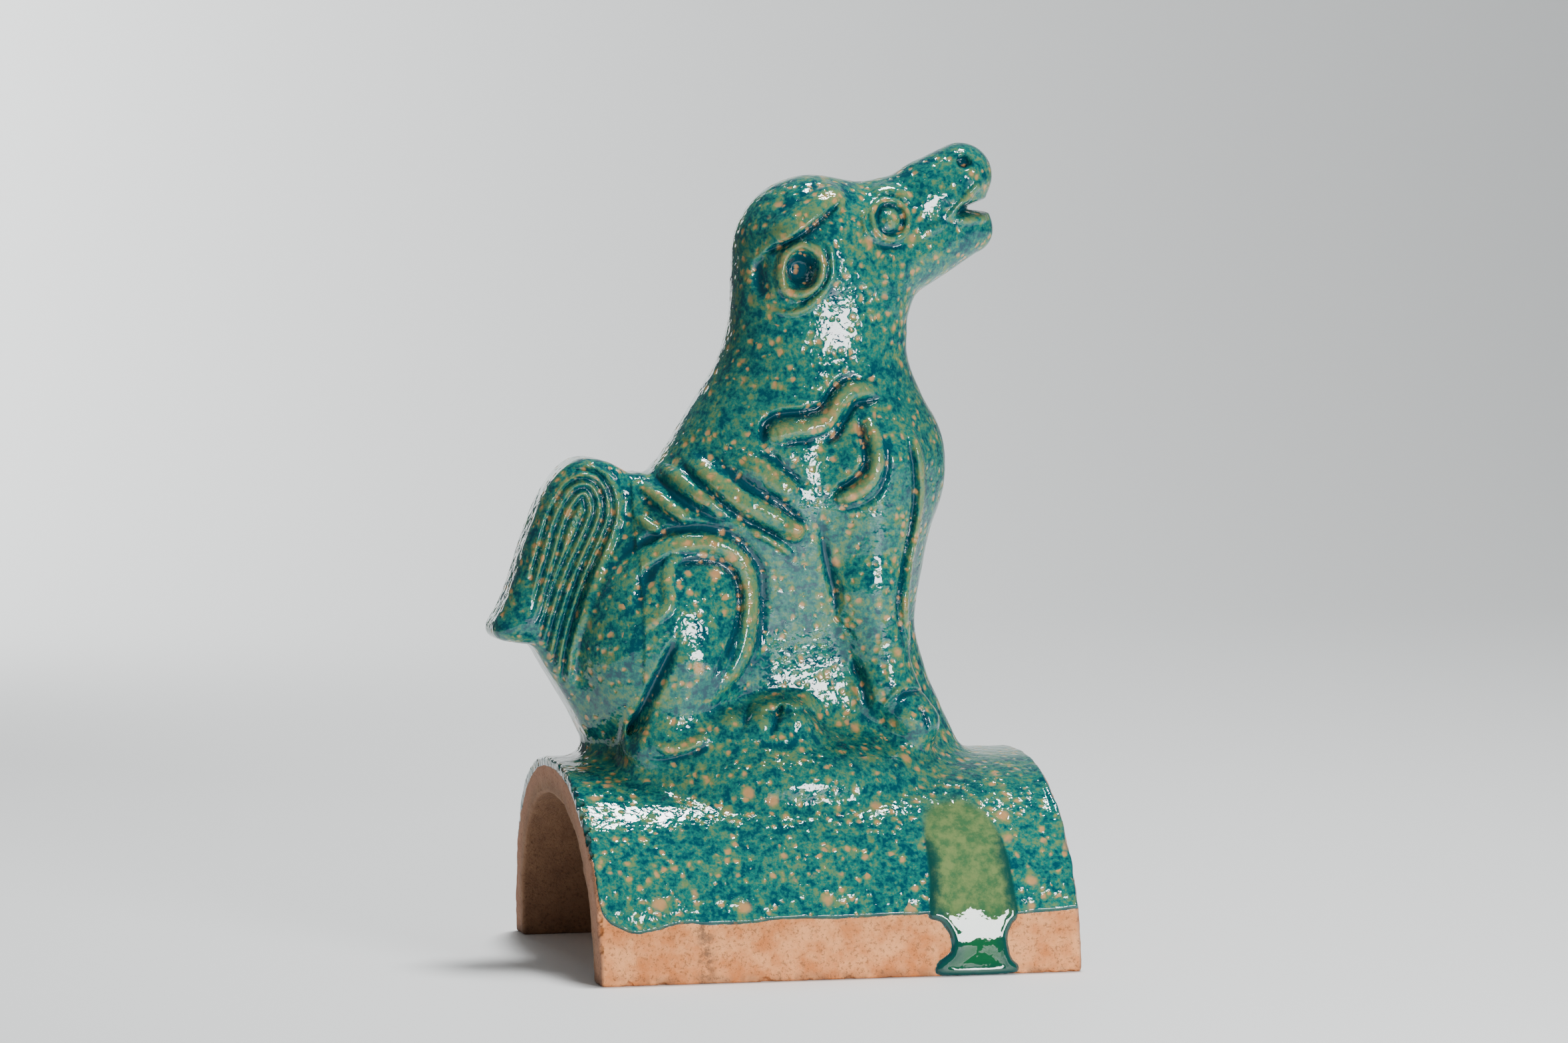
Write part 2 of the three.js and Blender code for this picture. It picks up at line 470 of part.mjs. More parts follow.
function thin({ points, triangles }, budget) {
  const faces = triangles.map((t) => [...t]);
  const around = points.map(() => new Set());
  const quadrics = points.map(() => new Float64Array(10));
  const stamp = new Int32Array(points.length);
  faces.forEach((f, i) => {
    const [a, b, c, area] = normalOf(...f.map((v) => points[v]));
    const p = points[f[0]];
    const plane = [a, b, c, -(a * p[0] + b * p[1] + c * p[2])];
    f.forEach((v) => {
      around[v].add(i);
      addPlane(quadrics[v], plane, area / 3);
    });
  });
  // A heap of edges, cheapest first; an edge whose ends have changed since is passed over
  const heap = [];
  const push = (item) => {
    heap.push(item);
    let i = heap.length - 1;
    while (i > 0 && heap[(i - 1) >> 1].cost > item.cost) {
      heap[i] = heap[(i - 1) >> 1];
      i = (i - 1) >> 1;
    }
    heap[i] = item;
  };
  const pop = () => {
    const first = heap[0];
    const last = heap.pop();
    let i = 0;
    while (2 * i + 1 < heap.length) {
      let child = 2 * i + 1;
      if (child + 1 < heap.length && heap[child + 1].cost < heap[child].cost) child += 1;
      if (heap[child].cost >= last.cost) break;
      heap[i] = heap[child];
      i = child;
    }
    if (heap.length) heap[i] = last;
    return first;
  };
  const neighbours = (v) => {
    const ring = new Set();
    around[v].forEach((f) => faces[f].forEach((w) => { if (w !== v) ring.add(w); }));
    return ring;
  };
  const consider = (a, b) => {
    const q = quadrics[a].map((v, i) => v + quadrics[b][i]);
    const point = bestPoint(q, points[a], points[b]);
    const reach = Math.hypot(...points[a].map((v, i) => v - points[b][i]));
    const cost = Math.max(quadricError(q, point), 0) + 1e-5 * reach;
    push({ cost, a, b, point, q, mark: stamp[a] + stamp[b] });
  };
  const keepsFacing = (v, other, point) => [...around[v]].every((i) => {
    if (faces[i].includes(other)) return true;
    const before = normalOf(...faces[i].map((w) => points[w]));
    const after = normalOf(...faces[i].map((w) => (w === v ? point : points[w])));
    const turn = before[0] * after[0] + before[1] * after[1] + before[2] * after[2];
    return turn > 0.3 && after[3] > 1e-3;
  });
  points.forEach((_, v) => neighbours(v).forEach((w) => { if (w > v) consider(v, w); }));
  let left = faces.length;
  while (left > budget && heap.length) {
    const { a, b, point, q, mark } = pop();
    if (!around[a].size || !around[b].size || mark !== stamp[a] + stamp[b]) continue;
    const shared = [...neighbours(a)].filter((v) => neighbours(b).has(v));
    if (shared.length !== 2 || !keepsFacing(a, b, point) || !keepsFacing(b, a, point)) continue;
    around[b].forEach((i) => {
      if (faces[i].includes(a)) {
        faces[i].forEach((v) => { if (v !== b) around[v].delete(i); });
        faces[i] = null;
        left -= 1;
      } else {
        faces[i] = faces[i].map((v) => (v === b ? a : v));
        around[a].add(i);
      }
    });
    around[b] = new Set();
    points[a] = point;
    quadrics[a] = q;
    stamp[a] += 1;
    neighbours(a).forEach((v) => consider(a, v));
  }
  return { points, triangles: faces.filter(Boolean) };
}

// ---- Trimming to the true flats ----
const wasm = await Module();
wasm.setup();

function solidOf(geometry) {
  geometry.deleteAttribute('normal');
  geometry.deleteAttribute('uv');
  const merged = mergeVertices(geometry, 1e-4);
  return new wasm.Manifold(new wasm.Mesh({
    numProp: 3,
    vertProperties: new Float32Array(merged.attributes.position.array),
    triVerts: new Uint32Array(merged.index.array),
  }));
}

function modelledSolid() {
  const sampled = sampleForm();
  partTouchingSheets(sampled);
  const { points, triangles } = thin(skin(sampled), FACE_BUDGET);
  const geometry = new THREE.BufferGeometry();
  geometry.setAttribute('position', new THREE.Float32BufferAttribute(points.flat(), 3));
  geometry.setIndex(triangles.flat());
  // points that no face uses any more are dropped with the merge
  return solidOf(geometry.toNonIndexed());
}

// A block that takes off all that lies past an end face; side is +1 in front, -1 behind
function endTrim(footX, side) {
  const block = new THREE.BoxGeometry(2 * SPARE, 2 * TILE_WIDTH, TRIM_TOP + SPARE);
  block.translate(side * SPARE, 0, (TRIM_TOP - SPARE) / 2);
  block.rotateY(-Math.atan(END_LEAN / TILE_HEIGHT));
  block.translate(footX, 0, 0);
  return solidOf(block);
}

function bore() {
  const half = TILE_WIDTH / 2 - TILE_WALL;
  const height = TILE_HEIGHT - TILE_WALL;
  const shape = new THREE.Shape([new THREE.Vector2(half, -SPARE)]);
  for (let i = 0; i <= BORE_SIDES; i += 1) {
    const turn = (Math.PI * i) / BORE_SIDES;
    const y = half * Math.sign(Math.cos(turn)) * Math.abs(Math.cos(turn)) ** (2 / ARCH_POWER);
    shape.lineTo(y, height * Math.sin(turn) ** (2 / ARCH_POWER));
  }
  shape.lineTo(-half, -SPARE);
  const length = TILE_FRONT - TILE_REAR + 2 * SPARE;
  const tunnel = new THREE.ExtrudeGeometry(shape, { depth: length, bevelEnabled: false, steps: 1 });
  tunnel.rotateX(Math.PI / 2);
  tunnel.rotateZ(Math.PI / 2);
  tunnel.translate(TILE_REAR - SPARE, 0, 0);
  return solidOf(tunnel);
}

function bedding() {
  const block = new THREE.BoxGeometry(2 * TILE_WIDTH, 2 * TILE_WIDTH, 2 * SPARE);
  block.translate(0, 0, -SPARE);
  return solidOf(block);
}

function geometryOf(solid) {
  const mesh = solid.getMesh();
  const geometry = new THREE.BufferGeometry();
  geometry.setAttribute('position', new THREE.BufferAttribute(mesh.vertProperties, 3));
  geometry.setIndex(new THREE.BufferAttribute(mesh.triVerts, 1));
  return geometry;
}

function ridgeBeast() {
  const solid = modelledSolid()
    .subtract(bedding())
    .subtract(bore())
    .subtract(endTrim(TILE_FRONT, 1))
    .subtract(endTrim(TILE_REAR, -1));
  const geometry = geometryOf(solid);
  // the origin lies on the bedding plane, below the middle of the whole length
  geometry.computeBoundingBox();
  const { min, max } = geometry.boundingBox;
  geometry.translate(-(min.x + max.x) / 2, 0, 0);
  geometry.computeVertexNormals();
  const glaze = new THREE.MeshStandardMaterial({ color: 0x1f6f66, roughness: 0.16, metalness: 0 });
  const mesh = new THREE.Mesh(geometry, glaze);
  mesh.name = 'ridge_beast';
  return mesh;
}

const part = new THREE.Group();
part.add(ridgeBeast());
export default part;
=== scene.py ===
"""Ridge beast: a seated hound looking up, modelled on a barrel ridge tile and fired under one
speckled teal glaze. The clay form is worked out as one distance field in millimetres, skinned at a
fine pitch, glazed by distance to the glaze's own edge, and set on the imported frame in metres."""

import math

import bpy
import numpy as np
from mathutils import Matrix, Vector


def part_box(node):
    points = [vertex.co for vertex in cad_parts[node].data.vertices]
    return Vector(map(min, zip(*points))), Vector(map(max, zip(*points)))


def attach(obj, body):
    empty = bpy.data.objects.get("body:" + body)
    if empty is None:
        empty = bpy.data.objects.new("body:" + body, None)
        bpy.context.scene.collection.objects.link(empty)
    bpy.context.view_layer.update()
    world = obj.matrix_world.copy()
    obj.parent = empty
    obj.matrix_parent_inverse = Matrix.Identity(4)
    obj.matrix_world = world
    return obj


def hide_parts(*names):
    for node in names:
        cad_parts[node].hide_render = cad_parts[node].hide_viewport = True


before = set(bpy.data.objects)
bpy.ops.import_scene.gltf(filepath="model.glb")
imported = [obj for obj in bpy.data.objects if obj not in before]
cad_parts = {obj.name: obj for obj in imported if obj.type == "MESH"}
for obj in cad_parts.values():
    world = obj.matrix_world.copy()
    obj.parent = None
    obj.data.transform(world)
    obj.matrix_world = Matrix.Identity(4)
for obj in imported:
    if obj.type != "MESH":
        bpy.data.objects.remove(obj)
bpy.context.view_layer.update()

# ---- Sizes in millimetres; x runs from the middle of the tile's own layout ----
TILE_WIDTH, TILE_HEIGHT, TILE_WALL = 176.0, 81.0, 14.5
TILE_FRONT, TILE_REAR = 97.0, -98.0
ARCH_POWER = 2.25
END_LEAN = 2.7
ARRIS = 1.6  # rounding of the tile's cut edges
TAIL_THICKNESS, TAIL_RIM = 32.0, 9.0
LOCK_PITCH, LOCK_HEIGHT, LOCK_FOOT = 3.75, 0.8, 108.0
RIM_FADE = (0.5, 4.5)
TONGUE_X, TONGUE_Z, TONGUE_SLOPE = -113.0, 158.0, 0.2
NET_PITCH = 1.0
MAP_PITCH = 0.5
REACH = ((-131.0, 104.0), 93.0, (-4.0, 335.0))
TRIANGLES = 192_000
GLAZE_COAT, GLAZE_LIP, RUN_COAT = 0.5, 0.7, 1.15  # thickness on the tile, at its edge, in the run
BROAD_UNEVEN, SMALL_UNEVEN, CLAY_GRAIN = 0.34, 0.16, 0.16
END_GRAIN, END_WAVE = 0.18, 0.3  # roughness of the cut ends
FOOT_ARRIS = 0.8
END_TOP = 96.0  # the end cuts go no higher, so the tail passes over them
FOOT_CHIPS, REAR_CHIPS, CHIP_REACH = 18, 16, 6.0
SKIN_DEPTH, CUT_MARGIN = 6.0, 4.0  # how far from skin and cuts the finish is worked out
SEED = 41

# The layout's x goes to the frame's x by this much
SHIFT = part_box("ridge_beast")[1][0] * 1000 - TILE_FRONT

# Trunk from seat to nape: height, back x, chest x, half width
TRUNK = [
    (70, -84, 68, 32), (86, -87, 67, 31), (101, -90, 61, 30), (116, -91, 54.5, 29),
    (130, -90, 50, 29), (142, -88, 50.5, 30), (158, -84, 53.5, 32.5), (172, -79, 56.5, 34.5),
    (186, -70, 61.5, 35.5), (202, -55.5, 62.5, 35), (215, -47, 59.5, 33.5), (228, -39, 52, 31),
    (242, -31, 46.8, 28.5), (254, -27, 46.5, 28), (266, -25.5, 46.5, 27.5), (278, -22, 40, 25),
    (290, -10, 24, 16), (298, 2, 12, 6),
]
TRUNK_POWER = 2.3

TAIL = [
    (-62, 191), (-70, 196.5), (-80, 201.5), (-90, 202.3), (-98, 197), (-105, 187), (-111, 172),
    (-116, 157), (-121, 144), (-125.5, 135.5), (-123.5, 130.5), (-115, 128.5), (-109, 127),
    (-103.5, 118), (-97.5, 109), (-91.5, 101), (-84, 93), (-66, 96), (-56, 140),
]
OUTER_LOCK = [
    (-120, 146), (-114, 166), (-109.7, 180.5), (-104.8, 190.5), (-98.3, 197.6), (-90.8, 200.2),
    (-83, 198), (-77.8, 191), (-76.3, 181), (-79.5, 171), (-88.8, 150), (-95.5, 127), (-96.6, 112),
]
LOCK_ENDS = [(-104, 106), (-118, 128)]

# Carving: points x, z; half width; height; shares of the length over which it fades in and out
RAISED = {
    "brow": ([(28.5, 307.5), (35, 310.5), (41, 309), (45, 304)], 2.4, 1.6, 0.25, 0.3),
    "eye rim": ([(27.5, 300), (30.5, 304.5), (36.5, 306), (41.8, 303), (43.4, 298), (42, 293),
                 (38.8, 290.5), (32.8, 290.5), (28.3, 294), (27.5, 300)], 1.5, 1.6, 0, 0),
    "eye crescent": ([(25, 302.5), (23.3, 298), (24.2, 293), (26.5, 290.5)], 1.1, 1.3, 0.2, 0.2),
    "ear rim": ([(-11.5, 276), (-9.5, 284), (-3.7, 288), (3, 285), (5, 279), (2.8, 271.6),
                 (-3.8, 268), (-10, 270), (-11.5, 276)], 2.3, 2.4, 0, 0),
    "ear shell": ([(4, 292), (8, 287), (9, 281), (8.6, 274), (4, 267), (-3.5, 261.5), (-11, 261),
                   (-17, 263)], 1.7, 1.6, 0.2, 0.3),
    "ear flap": ([(17, 310), (6, 304), (-2, 298.5), (-10, 293.5), (-18, 289)], 6, 3.4, 0.15, 0.3),
    "upper lip": ([(75, 312.5), (69, 306.5), (64.3, 301.5), (59, 297)], 2.2, 1.6, 0.1, 0.4),
    "cheek": ([(60, 297), (54, 294), (49, 290)], 2.4, 1.0, 0.3, 0.5),
    "lower lip": ([(64, 298), (70, 297.5), (79, 298.5)], 1.8, 1.0, 0.3, 0.1),
    "rib 1": ([(-70, 180), (-67, 177.7), (-63.8, 175.4), (-59, 172.5)], 2.4, 1.8, 0.3, 0.3),
    "rib 2": ([(-67, 193), (-61, 187.2), (-55.5, 182), (-49, 177)], 3, 2.3, 0.2, 0.3),
    "rib 3": ([(-58, 200), (-53, 194.8), (-48.4, 190.3), (-40, 184), (-33, 180)],
              3.4, 2.4, 0.2, 0.5),
    "rib 4": ([(-48.5, 204.5), (-42.5, 196), (-34.6, 189), (-26, 184), (-16.3, 178.5), (-4, 171.5)],
              5, 3.2, 0.2, 0.08),
    "rib 5": ([(-32.6, 206.7), (-26.4, 202), (-20, 197.5), (-12.3, 191), (-6, 186)],
              4.6, 2.2, 0.4, 0.2),
    "rib 6": ([(-27, 175), (-20, 171.5), (-13, 167.5), (-7, 162)], 2.2, 1.8, 0.2, 0.4),
    "haunch band": ([(-44, 106), (-36, 114), (-30.5, 121), (-27, 130), (-25.5, 140), (-25.5, 150),
                     (-28, 159), (-33.5, 165.5), (-42, 169), (-51.5, 169.5), (-60, 167.5),
                     (-68, 162.5), (-75, 155.5), (-81, 147)], 4.2, 2.8, 0.25, 0.35),
    "hook lock": ([(-53, 166.5), (-58.5, 161.5), (-60.4, 154), (-60, 147.3), (-63, 142.4),
                   (-69, 137.8), (-74, 134)], 3, 1.9, 0.15, 0.4),
    "foot ridge": ([(-68.5, 91), (-62, 88.3), (-55, 89), (-49, 91.5), (-42, 95)],
                   2.6, 1.6, 0.25, 0.4),
    "paw top": ([(-29, 105), (-20, 105.5), (-11, 106), (-2, 105), (5, 100)], 3.6, 2.4, 0.3, 0.3),
    "flame": ([(-15, 212.5), (-8, 214.5), (-1, 215), (5, 217.5), (9.3, 223), (14.6, 228.2),
               (22, 230.2), (31, 228.5)], 4.3, 3.2, 0.03, 0.3),
    "shoulder hook": ([(23, 221), (24, 213), (24.9, 206.3), (24.7, 200), (22.3, 193.9),
                       (17.5, 189.3), (11, 186.8)], 3.4, 2.9, 0.25, 0.03),
    "shin ridge": ([(40.5, 215), (43.3, 208), (45.3, 200), (46.8, 190), (46.5, 180), (45, 171.5),
                    (42.9, 162.5), (40.9, 152.6), (39.3, 144), (40, 136), (43.5, 127), (47, 118)],
                   2.3, 1.8, 0.12, 0.25),
    "fetlock": ([(28.5, 101), (32.5, 106), (36, 111.5)], 2.2, 1.4, 0.3, 0.3),
}
CUT = {
    "eye socket": ([(24, 291), (28.5, 288.2), (35, 286.8), (42, 288)], 2.2, 1.3, 0.3, 0.4),
    "eye ring": ([(30.2, 299), (32, 303), (36.5, 304), (40, 301.5), (41.2, 298), (40, 294.5),
                  (37, 292.6), (33, 292.8), (30.5, 295.5), (30.2, 299)], 1.3, 1.0, 0, 0),
    "ear ring": ([(6.8, 287), (7, 281), (6.6, 275), (3.2, 269.5), (-3.5, 264.8), (-10, 264.5)],
                 1.3, 1.1, 0.2, 0.3),
    "ear line": ([(16.5, 308), (10, 302), (3.4, 297), (-3.6, 291.8), (-10.2, 287.6), (-17.5, 284)],
                 2.1, 2.6, 0.25, 0.15),
    "ear hollow": ([(-16.5, 285), (-18, 275), (-16.4, 265)], 4, 2.4, 0.3, 0.35),
    "mouth": ([(63, 299.6), (69, 302), (80, 303.5)], 3.4, 4.5, 0.35, 0),
    "rib cut 2": ([(-67, 187), (-63, 183.3), (-58, 179.5), (-52, 175.8)], 2.3, 1.3, 0.2, 0.2),
    "rib cut 3": ([(-61, 196), (-57, 191.3), (-50.6, 185.2), (-43.4, 180.3), (-35.8, 176.5)],
                  2.6, 1.7, 0.2, 0.2),
    "rib cut 4": ([(-51, 200), (-47.8, 196.5), (-41, 189.5), (-33.8, 182.5), (-26, 177),
                   (-17, 172.2), (-8, 165)], 2.6, 2, 0.2, 0.25),
    "rib cut 5": ([(-41, 206), (-38.3, 202.7), (-30.5, 195.4), (-22, 189.5), (-13, 184), (-6, 178),
                   (0, 170)], 3.2, 1.6, 0.3, 0.3),
    "rib cut 6": ([(-24, 208), (-18, 204), (-10, 199), (-3, 195)], 3, 1.2, 0.3, 0.3),
    "haunch inside": ([(-57, 160), (-51, 161.8), (-42, 161.8), (-35, 159), (-31, 153), (-30, 145),
                       (-31.8, 136), (-35.8, 127.3), (-40.5, 119.5), (-45, 112)],
                      2.3, 1.7, 0.15, 0.3),
    "haunch outside": ([(-86, 149), (-78, 159.5), (-70, 167.3), (-60.5, 173), (-49, 175.5),
                        (-39.5, 175), (-31.5, 171.5), (-25, 165), (-20.5, 158), (-19.5, 148),
                        (-19.5, 138), (-21, 128), (-24.5, 118)], 3.4, 1.6, 0.2, 0.3),
    "hook pocket": ([(-64.5, 163), (-68, 155), (-71.3, 147), (-75.5, 141)], 4.2, 1.9, 0.3, 0.4),
    "leg crease": ([(-58, 132.5), (-61.2, 123.5), (-65, 115.4), (-68.4, 107), (-71.5, 99),
                    (-74.5, 91), (-75.6, 85)], 3.7, 3.6, 0.2, 0.3),
    "foot line": ([(-71, 85), (-64, 83.4), (-55.4, 85), (-47.4, 88), (-40, 91.5)],
                  2.3, 1.4, 0.3, 0.4),
    "toe line 1": ([(-14, 105), (-16.2, 99.7), (-18.9, 95), (-21.5, 91.5)], 1.6, 1.8, 0.15, 0.3),
    "toe line 2": ([(-27, 104), (-29.5, 98.5), (-33, 93)], 1.6, 1.0, 0.3, 0.4),
    "paw under": ([(-34, 92), (-25, 89.5), (-15, 88.8), (-4.7, 90.5)], 3, 1.2, 0.4, 0.4),
    "flame top": ([(-20, 205), (-20, 212), (-18, 217), (-12.6, 220), (-4, 221), (4.5, 223),
                   (8.8, 229.5), (14, 234.3), (22, 236.3)], 2.8, 2.6, 0.2, 0.35),
    "flame crease": ([(3.5, 208), (9.4, 211.3), (13.8, 217.7), (18.3, 223.6), (23.6, 225),
                      (31.5, 226.2)], 2.1, 2, 0.15, 0.3),
    "flame under": ([(-13, 207.5), (-6.4, 208.8), (1, 209)], 1.8, 1.3, 0.3, 0.3),
    "hook inside": ([(19.2, 220), (19.4, 212.2), (20.3, 206.3), (20.1, 199.8), (16.5, 194.5),
                     (11.4, 191), (6.5, 187)], 2.3, 2.2, 0.2, 0.2),
    "hook outside": ([(29.3, 213), (29.5, 205), (29.4, 197.3), (27, 190.3), (22.4, 185.4),
                      (15.7, 182.5), (9.5, 182.8)], 2, 1.2, 0.3, 0.3),
    "shoulder edge": ([(-19, 208), (-16.3, 205), (-12.6, 200), (-6.5, 194.8), (-1, 190)],
                      2.6, 1.8, 0.3, 0.3),
    "shin line": ([(38, 213), (40.3, 205), (42, 197), (42.9, 187), (42.3, 177), (40.3, 168),
                   (37.8, 158), (35.8, 148), (35.5, 139), (37.2, 131), (40.5, 123)],
                  2.0, 1.9, 0.15, 0.25),
    "leg back": ([(2, 184), (3.5, 178), (5, 167), (7.2, 158), (9.6, 150), (10.6, 142), (9, 136)],
                 3.4, 2.2, 0.4, 0.3),
    "leg back low": ([(17, 123), (20.3, 115), (22.4, 108), (23.7, 100)], 3.2, 2.2, 0.3, 0.3),
    "crack": ([(9.5, 140), (12, 136.5), (15.2, 133.5), (18.6, 129)], 0.8, 0.7, 0.1, 0.2),
    "paw line": ([(28.5, 100.5), (34, 106.6), (40.4, 108), (49, 107)], 2.1, 1.5, 0.2, 0.3),
    "paw toe": ([(41.9, 103), (45.3, 98.6), (47, 92)], 1.4, 1.2, 0.2, 0.3),
}
# Swellings and pits: centre x, z; radii x, z; height
SWELLINGS = {
    "eyeball": (36, 298.2, 5.2, 5.2, 2.6),
    "ear pit": (-3, 278, 7.4, 8.4, -5.5),
    "nostril": (68.3, 321, 3.9, 3.6, -3.2),
    "toe 1": (-35.5, 99.5, 7, 6, 1.6),
    "toe 2": (-23, 99.5, 6.2, 7, 2.2),
    "toe 3": (-8, 99, 8, 7.5, 2.4),
    "rib knob": (-8, 174.5, 8.5, 5.5, 1.8),
    "front toe": (38, 97.5, 9, 8, 2),
}

# Lower edge of the glaze on either side of the tile, x and z; the run is a closed outline
NEAR_EDGE = [
    (-99.1, 50), (-97.8, 32), (-95.5, 26), (-91.7, 23.2), (-84, 20.6), (-74.8, 21.3), (-64.1, 23.3),
    (-41.2, 22.6), (-25.9, 24), (-4.1, 23.9), (17.5, 24.3), (34.5, 24.1), (67.5, 23), (79, 23.8),
    (98, 24.6),
]
FAR_EDGE = [(-99, 30), (-80, 25), (-52, 22.5), (-20, 25.5), (18, 23), (55, 26), (98, 24)]
RUN = [
    (36.5, 60), (36, 48), (35.4, 36), (34.4, 27), (34.6, 22.8), (39.4, 20.8), (42.6, 15),
    (42.6, 10), (39.5, 7.2), (36.8, 4.6), (37.2, 0.8), (45, -0.6), (62, -0.6), (69.6, 0.6), (70.4, 3.4),
    (67.4, 7.2), (66.2, 14), (68.2, 19.4), (71, 23), (70.2, 33), (69.4, 44), (67.6, 55), (64.2, 64),
    (56, 68.6), (46, 68.4), (39.5, 65.5),
]


# ---- Small tools of form ----
def mix(a, b, t):
    return a + (b - a) * t


def ease(lo, hi, v):
    t = np.clip((v - lo) / (hi - lo), 0, 1)
    return t * t * (3 - 2 * t)


def join(a, b, fillet):
    """Two distances joined with a fillet."""
    h = np.clip(0.5 + 0.5 * (b - a) / fillet, 0, 1)
    return mix(b, a, h) - fillet * h * (1 - h)


def trim(a, b, arris):
    """What is inside both, with a rounded arris."""
    return -join(-a, -b, arris)


def smooth_line(points, per_span, closed=False):
    """Points along a smooth curve through the given ones."""
    p = np.asarray(points, float)
    ends = (p[-1:], p[:2]) if closed else (2 * p[:1] - p[1:2], 2 * p[-1:] - p[-2:-1])
    p = np.vstack([ends[0], p, ends[1]])
    t = np.linspace(0, 1, per_span, endpoint=False)[:, None]
    spans = []
    for a, b, c, d in zip(p, p[1:], p[2:], p[3:]):
        bend = (2 * a - 5 * b + 4 * c - d) * t**2 + (3 * b - a - 3 * c + d) * t**3
        spans.append(0.5 * (2 * b + (c - a) * t + bend))
    if not closed:
        spans.append(p[-2:-1])
    return np.vstack(spans)


def nearest(line, x, z):
    """Distance to a polyline, and the share of its length at the nearest point."""
    gap = np.full(x.shape, np.inf)
    share = np.zeros(x.shape)
    lengths = np.hypot(*np.diff(line, axis=0).T)
    start = np.concatenate([[0], np.cumsum(lengths)])
    for (ax, az), (bx, bz), s, length in zip(line, line[1:], start, lengths):
        ex, ez = bx - ax, bz - az
        t = np.clip(((x - ax) * ex + (z - az) * ez) / max(length**2, 1e-9), 0, 1)
        d = (x - ax - t * ex) ** 2 + (z - az - t * ez) ** 2
        closer = d < gap
        gap[closer] = d[closer]
        share[closer] = (s + t * length)[closer] / start[-1]
    return np.sqrt(gap), share


def inside_outline(line, x, z):
    inside = np.zeros(x.shape, bool)
    for (ax, az), (bx, bz) in zip(line, np.roll(line, -1, 0)):
        if az != bz:
            inside ^= ((az > z) != (bz > z)) & (x < (bx - ax) * (z - az) / (bz - az) + ax)
    return inside


def outline_gap(line, x, z):
    """Signed distance to a closed outline, negative inside."""
    gap = nearest(np.vstack([line, line[:1]]), x, z)[0]
    return np.where(inside_outline(line, x, z), -gap, gap)


class Lumps:
    """Smooth seeded unevenness in space, about -1 to 1."""

    def __init__(self, size, seed):
        self.size = size
        self.lattice = np.random.default_rng(seed).uniform(-1, 1, (64, 64, 64)).astype(np.float32)

    def __call__(self, x, y, z):
        corner, blend = [], []
        for v in (x, y, z):
            v = v / self.size + 97.3
            cell = np.floor(v)
            corner.append(cell.astype(np.int32))
            t = v - cell
            blend.append(t * t * (3 - 2 * t))
        total = 0
        for i in (0, 1):
            for j in (0, 1):
                for k in (0, 1):
                    weight = (blend[0] if i else 1 - blend[0]) * (blend[1] if j else 1 - blend[1])
                    weight = weight * (blend[2] if k else 1 - blend[2])
                    place = [(c + o) % 64 for c, o in zip(corner, (i, j, k))]
                    total = total + weight * self.lattice[tuple(place)]
        return total


# ---- Masses; y is taken from the middle plane outwards ----
def ellipsoid(x, y, z, centre, radii, tilt=0):
    cos, sin = math.cos(math.radians(tilt)), math.sin(math.radians(tilt))
    u = (x - centre[0]) * cos + (z - centre[2]) * sin
    v = y - centre[1]
    w = (z - centre[2]) * cos - (x - centre[0]) * sin
    a, b, c = radii
    near = np.sqrt((u / a) ** 2 + (v / b) ** 2 + (w / c) ** 2)
    slope = np.sqrt((u / a**2) ** 2 + (v / b**2) ** 2 + (w / c**2) ** 2) + 1e-6
    return near * (near - 1) / slope


def limb(x, y, z, start, end, start_radius, end_radius, width=1.0):
    d = [b - a for a, b in zip(start, end)]
    p = [x - start[0], y - start[1], z - start[2]]
    t = np.clip(sum(a * b for a, b in zip(p, d)) / sum(a * a for a in d), 0, 1)
    across = (p[1] - t * d[1]) / width
    gap = np.sqrt((p[0] - t * d[0]) ** 2 + across**2 + (p[2] - t * d[2]) ** 2)
    return gap - mix(start_radius, end_radius, t)


def trunk(x, y, z):
    line = smooth_line(TRUNK, 6)
    back, front, half = (np.interp(z, line[:, 0], line[:, k]) for k in (1, 2, 3))
    depth = (front - back) / 2
    u = x - (front + back) / 2
    k = ((np.abs(u) / depth) ** TRUNK_POWER + (y / half) ** TRUNK_POWER) ** (1 / TRUNK_POWER)
    slope = np.sqrt((u / depth**2) ** 2 + (y / half**2) ** 2) + 1e-6
    d = (k - 1) * np.minimum(k / slope, np.minimum(depth, half) * 1.6)
    return np.maximum(d, np.maximum(z - TRUNK[-1][0], TRUNK[0][0] - z))


def figure(x, y, z):
    """Head, body and limbs before carving."""
    f = trunk(x, y, z)
    f = join(f, ellipsoid(x, y, z, (7.5, 0, 284), (33, 29, 32), 10), 7)  # skull
    f = join(f, limb(x, y, z, (18, 0, 290), (60, 0, 305), 21, 15), 6)  # muzzle
    f = join(f, limb(x, y, z, (56, 0, 309), (69.5, 0, 316), 14, 13.2, 1.12), 5)  # nose
    f = join(f, limb(x, y, z, (32, 0, 279), (73, 0, 294), 20, 10.3, 1.1), 9)  # jaw and throat
    f = join(f, ellipsoid(x, y, z, (-55, 13, 128), (38, 29, 46)), 9)  # haunch
    f = join(f, limb(x, y, z, (26, 19, 200), (25, 22, 150), 21, 14.5), 9)  # shoulder
    f = join(f, limb(x, y, z, (25, 22, 150), (32, 24, 112), 14.5, 11.5), 7)  # foreleg
    f = join(f, limb(x, y, z, (32, 24, 108), (44, 29, 95), 12, 9.5), 6)  # front paw
    f = join(f, limb(x, y, z, (-50, 26, 118), (-62, 30, 92), 16, 10), 8)  # hind shank
    return join(f, limb(x, y, z, (-66, 31, 88), (-12, 33, 92), 11, 12.5), 6)  # hind foot


